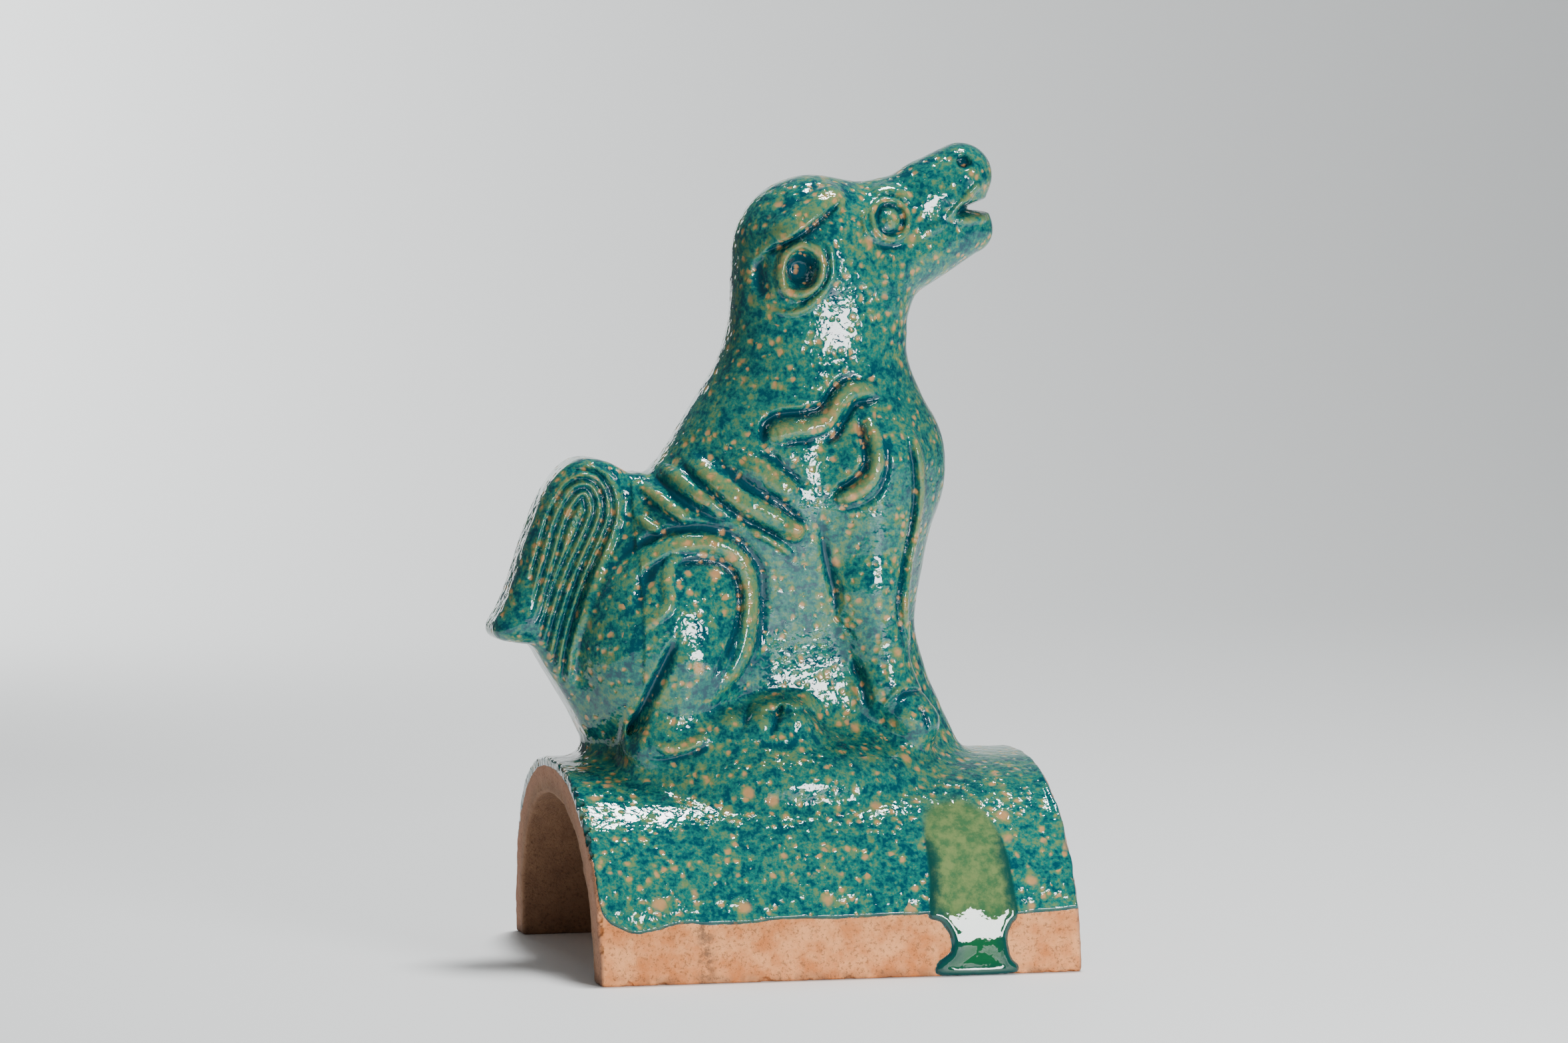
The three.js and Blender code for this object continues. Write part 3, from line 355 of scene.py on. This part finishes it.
def tail_slab(rim_gap, y):
    u = rim_gap + TAIL_RIM
    v = y - TAIL_THICKNESS / 2 + TAIL_RIM
    return np.hypot(np.maximum(u, 0), np.maximum(v, 0)) + np.minimum(np.maximum(u, v), 0) - TAIL_RIM


def barrel(y, z, inset=0.0):
    half, height = TILE_WIDTH / 2 - inset, TILE_HEIGHT - inset
    k = ((y / half) ** ARCH_POWER + (np.abs(z) / height) ** ARCH_POWER) ** (1 / ARCH_POWER)
    return (k - 1) * min(half, height)


def past_ends(x, z):
    """How far a place lies past the nearer end face of the tile."""
    lean = END_LEAN * z / TILE_HEIGHT
    return np.maximum(x + lean - TILE_FRONT, TILE_REAR - lean - x)


# ---- Carving, as a map of heights over x and z ----
def stroke_height(stroke, x, z, profile):
    points, half, height, fade_in, fade_out = stroke
    line = smooth_line(points, 4)
    low, high = line.min(0) - half, line.max(0) + half
    out = np.zeros(x.shape)
    near = (x > low[0]) & (x < high[0]) & (z > low[1]) & (z < high[1])
    gap, share = nearest(line, x[near], z[near])
    fade = np.ones(gap.shape)
    if fade_in:
        fade = fade * ease(0, fade_in, share + 0.02)
    if fade_out:
        fade = fade * ease(0, fade_out, 1 - share + 0.02)
    across = np.clip(gap / (half * (0.55 + 0.45 * fade)), 0, 1)
    out[near] = height * fade * profile(across)
    return out


def lock_waves(x, z, rim_gap):
    """Nested ridges that follow the tail's outer lock inwards."""
    line = smooth_line(OUTER_LOCK, 6)
    gap = nearest(line, x, z)[0]
    within = inside_outline(np.vstack([line, LOCK_ENDS]), x, z)
    strand = np.cos(2 * np.pi * gap / LOCK_PITCH)
    pair = np.cos(np.pi * gap / LOCK_PITCH) ** 2
    outside = 1.4 - 2.4 * ease(0, LOCK_PITCH, gap)
    inward = np.where(within, 0.45 * strand + 2.4 * pair - 1.0, outside)
    edge = TONGUE_X + (TONGUE_Z - z) * TONGUE_SLOPE
    clear = np.where(z > TONGUE_Z, 1, ease(-2, 4, x - edge))
    clear = clear * ease(*RIM_FADE, -rim_gap) * ease(LOCK_FOOT, LOCK_FOOT + 8, z) * (x < -70)
    return LOCK_HEIGHT * inward * clear


def carving_map(x, z, rim_gap):
    raised, cut = np.zeros(x.shape), np.zeros(x.shape)
    for stroke in RAISED.values():
        raised = np.maximum(raised, stroke_height(stroke, x, z, lambda r: 1 - r**2.6))
    for stroke in CUT.values():
        cut = np.maximum(cut, stroke_height(stroke, x, z, lambda r: 1 - ease(0, 1, r)))
    height = raised - cut
    for cx, cz, rx, rz, rise in SWELLINGS.values():
        r = np.hypot((x - cx) / rx, (z - cz) / rz)
        height += rise * (1 - ease(0.35 if rise < 0 else 0, 1, r))
    return height + lock_waves(x, z, rim_gap)


def blurred(height, radius):
    """A box blur run three times, for telling ridges from hollows."""
    width = 2 * radius + 1
    for _ in range(3):
        for axis in (0, 1):
            padded = np.pad(height, [(radius + 1, radius) if a == axis else (0, 0) for a in (0, 1)],
                            mode="edge")
            total = np.cumsum(padded, axis)
            ahead = np.take(total, range(width, total.shape[axis]), axis)
            behind = np.take(total, range(0, total.shape[axis] - width), axis)
            height = (ahead - behind) / width
    return height


class SideMap:
    """Values over the x-z plane, read between their points."""

    def __init__(self):
        (x0, x1), _, (z0, z1) = REACH
        self.start = (x0 - 2, z0 - 2)
        self.x = np.arange(x0 - 2, x1 + 3, MAP_PITCH)
        self.z = np.arange(z0 - 2, z1 + 3, MAP_PITCH)
        x, z = np.meshgrid(self.x, self.z, indexing="ij")
        tail_line = smooth_line(TAIL, 4, closed=True)
        self.rim_gap = outline_gap(tail_line, x, z)
        self.carving = carving_map(x, z, self.rim_gap)
        self.ridge = self.carving - blurred(self.carving, 7)
        self.run = -outline_gap(smooth_line(RUN, 5, closed=True), x, z)

    def read(self, values, x, z):
        u = (x - self.start[0]) / MAP_PITCH
        v = (z - self.start[1]) / MAP_PITCH
        i = np.clip(u.astype(np.int32), 0, len(self.x) - 2)
        j = np.clip(v.astype(np.int32), 0, len(self.z) - 2)
        s, t = u - i, v - j
        low = mix(values[i, j], values[i + 1, j], s)
        high = mix(values[i, j + 1], values[i + 1, j + 1], s)
        return mix(low, high, t)


side_map = SideMap()
broad_lumps = Lumps(19, SEED)
small_lumps = Lumps(7.5, SEED + 1)
grain = Lumps(2.4, SEED + 2)


# ---- The glaze's cover, in millimetres in from its own edge ----
def run_depth(x, y, z):
    """How far inside the outline of the green run, on the near side only."""
    return np.where((y < 0) & (z < 90), side_map.read(side_map.run, x, z), -30)


def glaze_cover(x, y, z):
    near, far = (smooth_line(edge, 8) for edge in (NEAR_EDGE, FAR_EDGE))
    line = np.where(y < 0, np.interp(x, near[:, 0], near[:, 1]), np.interp(x, far[:, 0], far[:, 1]))
    cover = np.maximum(z - line + 0.5 * small_lumps(x, y, z), run_depth(x, y, z))
    creep = mix(0.2, -1.6, ease(40, 78, z) * (x < 0))
    inset = -past_ends(x, z) - creep + 0.8 * small_lumps(z, x, y) + 90 * ease(84, 90, z)
    skin = 3.5 + barrel(np.abs(y), z)
    return np.minimum(cover, np.minimum(inset, skin))


def glaze_thickness(x, y, z):
    """The coat on the tile, its rolled lower lip and the thick run."""
    cover = glaze_cover(x, y, z)
    run = run_depth(x, y, z)
    tile = 1 - ease(72, 84, z)
    lip = ease(0, 1.1, cover) * (1 - ease(1.2, 4.2, cover))
    flow = ease(0, 3.5, run) * (1 - 0.35 * ease(4, 12, run))
    flow = flow * (1 - ease(38, 66, z))
    coat = GLAZE_COAT * ease(-0.2, 0.9, cover) + GLAZE_LIP * lip
    return tile * coat + RUN_COAT * flow


def chip_places():
    """Small chips along the tile's bottom edge and round its rear arris."""
    rng = np.random.default_rng(SEED)
    places = []
    for x in rng.uniform(TILE_REAR, TILE_FRONT, FOOT_CHIPS):
        y = -TILE_WIDTH / 2 + rng.uniform(-0.9, 0.3)
        places.append((x, y, rng.uniform(-0.9, 0.3), rng.uniform(0.7, 1.9)))
    for turn in rng.uniform(0.05, 1.45, REAR_CHIPS):
        y = -TILE_WIDTH / 2 * math.cos(turn) ** (2 / ARCH_POWER)
        z = TILE_HEIGHT * math.sin(turn) ** (2 / ARCH_POWER)
        x = TILE_REAR - END_LEAN * z / TILE_HEIGHT
        places.append((x + rng.uniform(-1, 0.6), y, z, rng.uniform(1, 2.6)))
    return places


CHIPS = chip_places()


# ---- The whole clay form; negative inside ----
def unglazed(x, y, z, carving, rim_gap):
    f = figure(x, y, z)
    f = join(f, tail_slab(rim_gap, y), 6) - carving
    f = join(f, ellipsoid(x, y, z, (-10, 0, 72), (75, 60, 25)), 12)  # bedding mound
    f = join(f, barrel(y, z), 7)
    return trim(f, -barrel(y, z, TILE_WALL), ARRIS)


def finish_form(f, x, y, z):
    """Hand unevenness, glaze thickness, cut ends and chips, which differ from side to side."""
    uneven = BROAD_UNEVEN * broad_lumps(x, y, z) + SMALL_UNEVEN * small_lumps(x, y, z)
    f = f - uneven * ease(3, 12, z) - glaze_thickness(x, y, z)
    rough = 1 - ease(-0.5, 0.5, glaze_cover(x, y, z))
    f = f - CLAY_GRAIN * rough * grain(x, y, z)
    ends = past_ends(x, z) - END_GRAIN * grain(y, x, z) - END_WAVE * small_lumps(y, z, x)
    ends = np.minimum(ends, END_TOP - z)
    f = trim(f, ends, ARRIS)
    for cx, cy, cz, radius in CHIPS:
        near = (np.abs(x - cx) < CHIP_REACH) & (np.abs(y - cy) < CHIP_REACH)
        near &= np.abs(z - cz) < CHIP_REACH
        if near.any():
            ball = np.sqrt((x[near] - cx) ** 2 + (y[near] - cy) ** 2 + (z[near] - cz) ** 2) - radius
            f[near] = np.maximum(f[near], -ball)
    return trim(f, -z, FOOT_ARRIS)


def form_at(points):
    x, y, z = points.T
    side = np.abs(y)
    carving = side_map.read(side_map.carving, x, z)
    rim_gap = side_map.read(side_map.rim_gap, x, z)
    return finish_form(unglazed(x, side, z, carving, rim_gap), x, y, z)


def sampled_form():
    (x0, x1), y1, (z0, z1) = REACH
    xs = np.arange(x0, x1, NET_PITCH)
    ys = np.arange(0, y1, NET_PITCH)
    zs = np.arange(z0 + 0.03, z1, NET_PITCH)
    x2, z2 = np.meshgrid(xs, zs, indexing="ij")
    carving = side_map.read(side_map.carving, x2, z2)
    rim_gap = side_map.read(side_map.rim_gap, x2, z2)
    half = np.empty((len(xs), len(ys), len(zs)), np.float32)
    for i, x in enumerate(xs):
        y, z = np.meshgrid(ys, zs, indexing="ij")
        half[i] = unglazed(np.full(y.shape, x), y, z, carving[i][None], rim_gap[i][None])
    whole = np.concatenate([half[:, :0:-1], half], axis=1)
    ys = np.concatenate([-ys[:0:-1], ys])
    for i, x in enumerate(xs):
        near_cut = (past_ends(x, zs) > -CUT_MARGIN) | (zs < CUT_MARGIN)
        close = (whole[i] < SKIN_DEPTH) & ((whole[i] > -SKIN_DEPTH) | near_cut[None])
        j, k = np.nonzero(close)
        if len(j):
            form = whole[i][close].astype(float)
            whole[i][close] = finish_form(form, np.full(len(j), x), ys[j], zs[k])
    return whole, (xs[0], ys[0], zs[0])


def skin(field, start):
    """One vertex in each cell that the surface crosses, one face across each crossed edge."""
    inside = field < 0
    size = np.array(field.shape)
    cells = size - 1
    count = np.zeros(cells, np.uint8)
    for corner in np.ndindex(2, 2, 2):
        count += inside[tuple(slice(c, c + n) for c, n in zip(corner, cells))]
    crossed = np.argwhere((count > 0) & (count < 8))
    vertex = np.full(cells, -1, np.int32)
    vertex[tuple(crossed.T)] = np.arange(len(crossed))
    total = np.zeros((len(crossed), 3))
    hits = np.zeros(len(crossed))
    for axis in range(3):
        for offset in np.ndindex(2, 2):
            a = crossed.copy()
            a[:, [k for k in range(3) if k != axis]] += offset
            b = a.copy()
            b[:, axis] += 1
            fa, fb = field[tuple(a.T)], field[tuple(b.T)]
            hit = (fa < 0) != (fb < 0)
            point = a[hit].astype(float)
            point[:, axis] += fa[hit] / (fa[hit] - fb[hit])
            total[hit] += point
            hits[hit] += 1
    points = total / hits[:, None] * NET_PITCH + start
    faces = []
    for axis in range(3):
        u, v = (axis + 1) % 3, (axis + 2) % 3
        low = [slice(1, n - 1) for n in size]
        high = list(low)
        low[axis], high[axis] = slice(0, size[axis] - 1), slice(1, size[axis])
        for flag, turned in ((inside[tuple(low)] & ~inside[tuple(high)], False),
                             (~inside[tuple(low)] & inside[tuple(high)], True)):
            edge = np.argwhere(flag) + [0 if k == axis else 1 for k in range(3)]
            ring = []
            for du, dv in ((0, 0), (1, 0), (1, 1), (0, 1)):
                cell = edge.copy()
                cell[:, u] -= du
                cell[:, v] -= dv
                ring.append(vertex[tuple(cell.T)])
            ring = np.stack(ring, 1)
            faces.append(ring[:, ::-1] if turned else ring)
    return points, np.vstack(faces)


def slope_at(points, step=0.4):
    slope = np.empty(points.shape)
    for axis in range(3):
        offset = np.zeros(3)
        offset[axis] = step
        slope[:, axis] = (form_at(points + offset) - form_at(points - offset)) / (2 * step)
    return slope


def to_frame(points):
    return (points + [SHIFT, 0, 0]) / 1000


# ---- Mesh of the beast ----
def mesh_of(name, points, faces):
    mesh = bpy.data.meshes.new(name)
    mesh.vertices.add(len(points))
    mesh.vertices.foreach_set("co", points.astype(np.float32).ravel())
    mesh.loops.add(faces.size)
    mesh.loops.foreach_set("vertex_index", faces.astype(np.int32).ravel())
    mesh.polygons.add(len(faces))
    starts = np.arange(0, faces.size, faces.shape[1], dtype=np.int32)
    mesh.polygons.foreach_set("loop_start", starts)
    mesh.update(calc_edges=True)
    return mesh


def thinned(mesh, triangles):
    """The same surface with fewer triangles, most of them kept where it curves."""
    maker = bpy.data.objects.new("thinning", mesh)
    bpy.context.scene.collection.objects.link(maker)
    modifier = maker.modifiers.new("fewer", "DECIMATE")
    modifier.ratio = triangles / (2 * len(mesh.polygons))
    evaluated = maker.evaluated_get(bpy.context.evaluated_depsgraph_get())
    result = bpy.data.meshes.new_from_object(evaluated)
    bpy.data.objects.remove(maker)
    return result


def add_values(mesh, name, values):
    layer = mesh.attributes.new(name, "FLOAT", "POINT")
    layer.data.foreach_set("value", values.astype(np.float32))


def beast_mesh():
    field, start = sampled_form()
    points, faces = skin(field, start)
    mesh = thinned(mesh_of("ridge_beast_net", points, faces), TRIANGLES)
    mesh.name = "ridge_beast_form"
    points = np.empty(len(mesh.vertices) * 3, np.float32)
    mesh.vertices.foreach_get("co", points)
    points = points.reshape(-1, 3).astype(float)
    slope = slope_at(points)
    square = (slope**2).sum(1)
    step = np.clip(form_at(points) / np.maximum(square, 0.2), -0.35, 0.35)
    points -= step[:, None] * slope
    slope = slope_at(points)
    normals = slope / np.linalg.norm(slope, axis=1)[:, None]
    x, y, z = points.T
    add_values(mesh, "cover", glaze_cover(x, y, z))
    add_values(mesh, "run", run_depth(x, y, z))
    ridge = side_map.read(side_map.ridge, x, z) * ease(0.25, 0.6, np.abs(normals[:, 1]))
    add_values(mesh, "ridge", ridge)
    add_values(mesh, "depth", np.clip(-barrel(np.abs(y), z), 0, TILE_WALL))
    add_values(mesh, "end", ease(-1.5, -0.3, past_ends(x, z)) * (z < 90))
    mesh.vertices.foreach_set("co", to_frame(points).astype(np.float32).ravel())
    mesh.polygons.foreach_set("use_smooth", np.ones(len(mesh.polygons), bool))
    mesh.update()
    mesh.normals_split_custom_set_from_vertices(normals.tolist())
    return mesh


# ---- Materials ----
def colour(code):
    """A hex colour as linear red, green, blue, alpha."""
    parts = [int(code[i:i + 2], 16) / 255 for i in (1, 3, 5)]
    return tuple(c / 12.92 if c <= 0.04045 else ((c + 0.055) / 1.055) ** 2.4 for c in parts) + (1,)


class Recipe:
    """A material's nodes, with short names for the steps that it uses."""

    def __init__(self, name):
        self.material = bpy.data.materials.new(name)
        self.material.use_nodes = True
        self.tree = self.material.node_tree
        self.shader = self.tree.nodes["Principled BSDF"]
        self.place = None

    def feed(self, socket, value):
        if isinstance(value, bpy.types.NodeSocket):
            self.tree.links.new(value, socket)
        else:
            socket.default_value = value

    def node(self, kind, **settings):
        node = self.tree.nodes.new(kind)
        for key, value in settings.items():
            setattr(node, key, value)
        return node

    def math(self, operation, a, b=0.0, c=0.0, clamp=False):
        node = self.node("ShaderNodeMath", operation=operation, use_clamp=clamp)
        for socket, value in zip(node.inputs, (a, b, c)):
            self.feed(socket, value)
        return node.outputs[0]

    def vector(self, operation, a, b=(0, 0, 0), scale=1.0):
        node = self.node("ShaderNodeVectorMath", operation=operation)
        self.feed(node.inputs[0], a)
        if operation == "SCALE":
            node.inputs["Scale"].default_value = scale
        else:
            self.feed(node.inputs[1], b)
        return node.outputs[0]

    def ramp(self, value, low, high, to_low=0.0, to_high=1.0, kind="SMOOTHSTEP"):
        node = self.node("ShaderNodeMapRange", interpolation_type=kind)
        for socket, v in zip(node.inputs, (value, low, high, to_low, to_high)):
            self.feed(socket, v)
        return node.outputs[0]

    def blend(self, share, a, b, kind="MIX"):
        node = self.node("ShaderNodeMix", data_type="RGBA", blend_type=kind)
        self.feed(node.inputs["Factor"], share)
        self.feed(node.inputs[6], a)
        self.feed(node.inputs[7], b)
        return node.outputs[2]

    def noise(self, wave, detail=2.0, rough=0.5, place=None):
        node = self.node("ShaderNodeTexNoise")
        self.feed(node.inputs["Vector"], place or self.place)
        node.inputs["Scale"].default_value = 1 / wave
        node.inputs["Detail"].default_value = detail
        node.inputs["Roughness"].default_value = rough
        return node.outputs["Fac"]

    def attribute(self, name):
        return self.node("ShaderNodeAttribute", attribute_name=name).outputs["Fac"]

    def bump(self, height, distance, strength=1.0, normal=None):
        node = self.node("ShaderNodeBump")
        node.inputs["Strength"].default_value = strength
        node.inputs["Distance"].default_value = distance
        self.feed(node.inputs["Height"], height)
        if normal is not None:
            self.feed(node.inputs["Normal"], normal)
        return node.outputs[0]


def spots(recipe, place, cell, radius, share):
    """Round spots in cells of one size: the spot, and a wider soft halo round it."""
    node = recipe.node("ShaderNodeTexVoronoi", feature="F1")
    recipe.feed(node.inputs["Vector"], place)
    node.inputs["Scale"].default_value = 1 / cell
    parts = recipe.node("ShaderNodeSeparateColor")
    recipe.feed(parts.inputs[0], node.outputs["Color"])
    size = recipe.ramp(parts.outputs[0], 0, 1, radius[0] / cell, radius[1] / cell, "LINEAR")
    gap = recipe.math("DIVIDE", node.outputs["Distance"], size)
    kept = recipe.math("LESS_THAN", parts.outputs[1], share)
    spot = recipe.math("MULTIPLY", recipe.ramp(gap, 0.5, 1.3, 1, 0), kept)
    halo = recipe.math("MULTIPLY", recipe.ramp(gap, 0.9, 2.3, 1, 0), kept)
    return spot, halo


def glaze_over_clay():
    r = Recipe("teal_glaze_over_clay")
    coordinates = r.node("ShaderNodeTexCoord").outputs["Object"]
    r.place = r.vector("SCALE", coordinates, scale=1000.0)
    axes = r.node("ShaderNodeSeparateXYZ")
    r.feed(axes.inputs[0], r.place)
    x, z = axes.outputs[0], axes.outputs[2]
    cover, run, ridge = r.attribute("cover"), r.attribute("run"), r.attribute("ridge")
    depth, end = r.attribute("depth"), r.attribute("end")

    # places for the spots, pulled about so that they aren't all round
    wander = r.node("ShaderNodeTexNoise")
    r.feed(wander.inputs["Vector"], r.place)
    wander.inputs["Scale"].default_value = 1 / 4.0
    drift = r.vector("SUBTRACT", wander.outputs["Color"], (0.5, 0.5, 0.5))
    bent = r.vector("ADD", r.place, r.vector("SCALE", drift, scale=3.0))

    patches = r.noise(26, 3, 0.55)
    low_down = r.ramp(z, 95, 70)
    density = r.ramp(patches, 0.35, 0.65, 0.45, 0.95)
    small_spot, small_halo = spots(r, bent, 3.7, (0.45, 1.35), density)
    large_share = r.math("ADD", r.math("MULTIPLY", low_down, 0.3), 0.1)
    large_spot, large_halo = spots(r, bent, 8.5, (0.9, 2.7), large_share)
    soft_head = r.ramp(z, 50, 66, 0.8, 5.0)
    in_run = r.ramp(run, -0.6, soft_head)
    out_of_run = r.math("SUBTRACT", 1.0, in_run)
    spot = r.math("MULTIPLY", r.math("MAXIMUM", small_spot, large_spot), out_of_run)
    halo = r.math("MULTIPLY", r.math("MAXIMUM", small_halo, large_halo), out_of_run)

    # thin glaze is sage, thick glaze deep teal, pools go blue
    clouds = r.noise(5.0, 5, 0.7)
    flecks = r.noise(1.7, 2, 0.6)
    thin = r.ramp(clouds, 0.34, 0.68, 0.0, 0.95, "LINEAR")
    thin = r.math("ADD", thin, r.math("MULTIPLY", ridge, 0.4))
    thin = r.math("ADD", thin, r.math("MULTIPLY", halo, 0.42))
    thin = r.math("ADD", thin, r.ramp(flecks, 0.3, 0.7, -0.34, 0.34, "LINEAR"))
    thin = r.math("ADD", thin, r.ramp(patches, 0.3, 0.7, -0.12, 0.12, "LINEAR"))
    teal = r.blend(r.ramp(thin, 0.0, 0.6), colour("#00404d"), colour("#0c6a60"))
    teal = r.blend(r.ramp(thin, 0.45, 1.1), teal, colour("#5b7a50"))
    teal = r.blend(r.ramp(thin, 1.05, 1.8), teal, colour("#947f52"))
    hollow = r.math("ADD", ridge, r.ramp(patches, 0.3, 0.7, -0.25, 0.25, "LINEAR"))
    pool = r.ramp(hollow, -0.5, -1.6)
    teal = r.blend(r.math("MULTIPLY", pool, 0.55), teal, colour("#003c48"))
    peach = r.blend(r.noise(3, 2), colour("#b07a4a"), colour("#cf9a66"))
    glaze = r.blend(r.math("MULTIPLY", spot, 0.8), teal, peach)

    # the green run: olive in the middle, deep green at its sides and foot
    olive = r.blend(r.ramp(clouds, 0.35, 0.65), colour("#3a6440"), colour("#6b7f4c"))
    foot = r.ramp(z, 30, 14)
    olive = r.blend(foot, olive, colour("#0f5632"))
    into_run = r.math("ADD", run, r.ramp(z, 46, 62, 0, 7))
    into_run = r.math("ADD", into_run, r.math("MULTIPLY", clouds, 7))
    flow = r.blend(r.ramp(into_run, 4, 11), colour("#003f3a"), olive)
    glaze = r.blend(in_run, glaze, flow)
    rim = r.math("MULTIPLY", r.ramp(cover, 2.2, 0.4), r.ramp(cover, -0.2, 0.1))
    glaze = r.blend(r.math("MULTIPLY", rim, 0.75), glaze, colour("#00474c"))

    # bare clay: salmon outside, redder on the cut ends, darker brown in the bore and across the inner
    # part of the cut ends
    mottle = r.noise(9, 4, 0.6)
    clay = r.blend(r.ramp(mottle, 0.3, 0.7), colour("#c9783f"), colour("#eca26a"))
    clay = r.blend(end, clay, r.blend(mottle, colour("#93624a"), colour("#b88a6c")))
    bore_clay = r.blend(mottle, colour("#6e4c3a"), colour("#a9805f"))
    clay = r.blend(r.ramp(depth, 6, 13), clay, bore_clay)
    pits = r.ramp(r.noise(1.3, 3, 0.75), 0.53, 0.64)
    clay = r.blend(r.math("MULTIPLY", pits, 0.55), clay, colour("#5c3d2b"))
    soot = r.math("MULTIPLY", r.ramp(r.math("ABSOLUTE", r.math("ADD", x, 56 - SHIFT)), 5, 1),
                  r.ramp(r.noise(4, 4, 0.7), 0.42, 0.6))
    clay = r.blend(r.math("MULTIPLY", soot, 0.7), clay, colour("#4b4038"))
    # the clay goes darker in noisy patches over its lowest 5 mm, at the floor
    low_edge_darkening = r.math("MULTIPLY", r.ramp(z, 5, 0), r.ramp(r.noise(5, 3), 0.35, 0.6))
    clay = r.blend(r.math("MULTIPLY", low_edge_darkening, 0.5), clay, colour("#5d4a3e"))

    edge = r.math("ADD", cover, r.ramp(r.noise(3, 2), 0.2, 0.8, -0.25, 0.25, "LINEAR"))
    glazed = r.ramp(edge, -0.12, 0.18)
    shader = r.shader.inputs
    r.feed(shader["Base Color"], r.blend(glazed, clay, glaze))
    r.feed(shader["Roughness"], r.ramp(glazed, 0, 1, 0.82, 0.22))
    r.feed(shader["Specular IOR Level"], r.ramp(glazed, 0, 1, 0.35, 0.0))
    r.feed(shader["Coat Weight"], glazed)
    shader["Coat Roughness"].default_value = 0.035
    shader["Coat IOR"].default_value = 1.52

    # orange peel and the little craters that the spots leave; grain on the clay
    calm = r.ramp(in_run, 0, 1, 1.0, 0.25, "LINEAR")
    peel = r.math("ADD", r.noise(4.6, 2, 0.5), r.math("MULTIPLY", flecks, 0.12))
    peel = r.math("MULTIPLY", peel, calm)
    crater = r.math("ADD", r.math("MULTIPLY", halo, 0.35), r.math("MULTIPLY", spot, 0.35))
    wet = r.math("SUBTRACT", peel, crater)
    dry = r.math("ADD", r.noise(0.9, 3, 0.7), r.math("MULTIPLY", r.noise(3.5, 3, 0.6), 1.2))
    surface = r.blend(glazed, dry, wet)
    relief = r.bump(surface, 0.00042)
    r.feed(shader["Normal"], relief)
    r.feed(shader["Coat Normal"], relief)
    return r.material


def backdrop():
    """A white sweep: a floor that turns up into a wall behind."""
    r = Recipe("studio_sweep")
    r.shader.inputs["Base Color"].default_value = (0.88, 0.9, 0.9, 1)
    r.shader.inputs["Roughness"].default_value = 0.6
    turn_radius, wall_y, left, right = 0.9, 2.6, -0.5, 3.2
    profile = [(-1.4, 0.0), (wall_y - turn_radius, 0.0)]
    for i in range(1, 17):
        turn = math.pi / 2 * i / 16
        profile.append((wall_y - turn_radius + turn_radius * math.sin(turn),
                        turn_radius - turn_radius * math.cos(turn)))
    profile.append((wall_y, 4.0))
    points = np.array([(x, y, z) for y, z in profile for x in (left, right)])
    faces = np.array([(2 * i, 2 * i + 1, 2 * i + 3, 2 * i + 2) for i in range(len(profile) - 1)])
    mesh = mesh_of("sweep", points, faces)
    mesh.polygons.foreach_set("use_smooth", np.ones(len(mesh.polygons), bool))
    mesh.materials.append(r.material)
    sweep = bpy.data.objects.new("sweep", mesh)
    bpy.context.scene.collection.objects.link(sweep)


# ---- Light and camera, in metres ----
LOOK_AT = Vector(((-3.8 + SHIFT) / 1000, 0, 0.1754))
CAMERA_TURN, CAMERA_RISE, CAMERA_DISTANCE = -13.5, 3.3, 2.297
SENSOR, LENS = 36.0, 129.826


def direction(azimuth, elevation):
    """From the object outwards; azimuth 0 is the beast's right side, 90 its front."""
    a, e = math.radians(azimuth), math.radians(elevation)
    return Vector((math.sin(a) * math.cos(e), -math.cos(a) * math.cos(e), math.sin(e)))


def softbox(name, target, offset, width, height, glow):
    """A soft rectangular light facing its target; glow is its brightness as seen."""
    data = bpy.data.lights.new(name, "AREA")
    data.shape = "RECTANGLE"
    data.size, data.size_y = width, height
    data.energy = glow * math.pi * width * height
    light = bpy.data.objects.new(name, data)
    light.location = target + offset
    light.rotation_mode = "QUATERNION"
    light.rotation_quaternion = (-offset).to_track_quat("-Z", "Y")
    bpy.context.scene.collection.objects.link(light)


def studio():
    world = bpy.data.worlds.new("studio")
    world.use_nodes = True
    world.node_tree.nodes["Background"].inputs["Color"].default_value = (0.93, 0.97, 1.0, 1)
    world.node_tree.nodes["Background"].inputs["Strength"].default_value = 0.18
    bpy.context.scene.world = world
    softbox("front_softbox", LOOK_AT, direction(19, 5) * 1.15, 0.34, 0.27, 48)
    softbox("top_softbox", LOOK_AT, direction(140, 80) * 1.6, 0.38, 0.36, 92)
    softbox("backdrop_light", Vector((0.1, 2.6, 0.8)), Vector((-1.0, -0.9, 0.1)), 0.5, 0.5, 46)


def camera():
    data = bpy.data.cameras.new("camera")
    data.sensor_width = SENSOR
    data.lens = LENS
    view = bpy.data.objects.new("camera", data)
    view.location = LOOK_AT + direction(CAMERA_TURN, CAMERA_RISE) * CAMERA_DISTANCE
    view.rotation_mode = "QUATERNION"
    view.rotation_quaternion = (LOOK_AT - view.location).to_track_quat("-Z", "Y")
    bpy.context.scene.collection.objects.link(view)
    bpy.context.scene.camera = view


def ridge_beast():
    mesh = beast_mesh()
    mesh.materials.clear()
    mesh.materials.append(glaze_over_clay())
    beast = bpy.data.objects.new("ridge_beast_glazed", mesh)
    bpy.context.scene.collection.objects.link(beast)
    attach(beast, "root")
    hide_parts("ridge_beast")


ridge_beast()
backdrop()
studio()
camera()
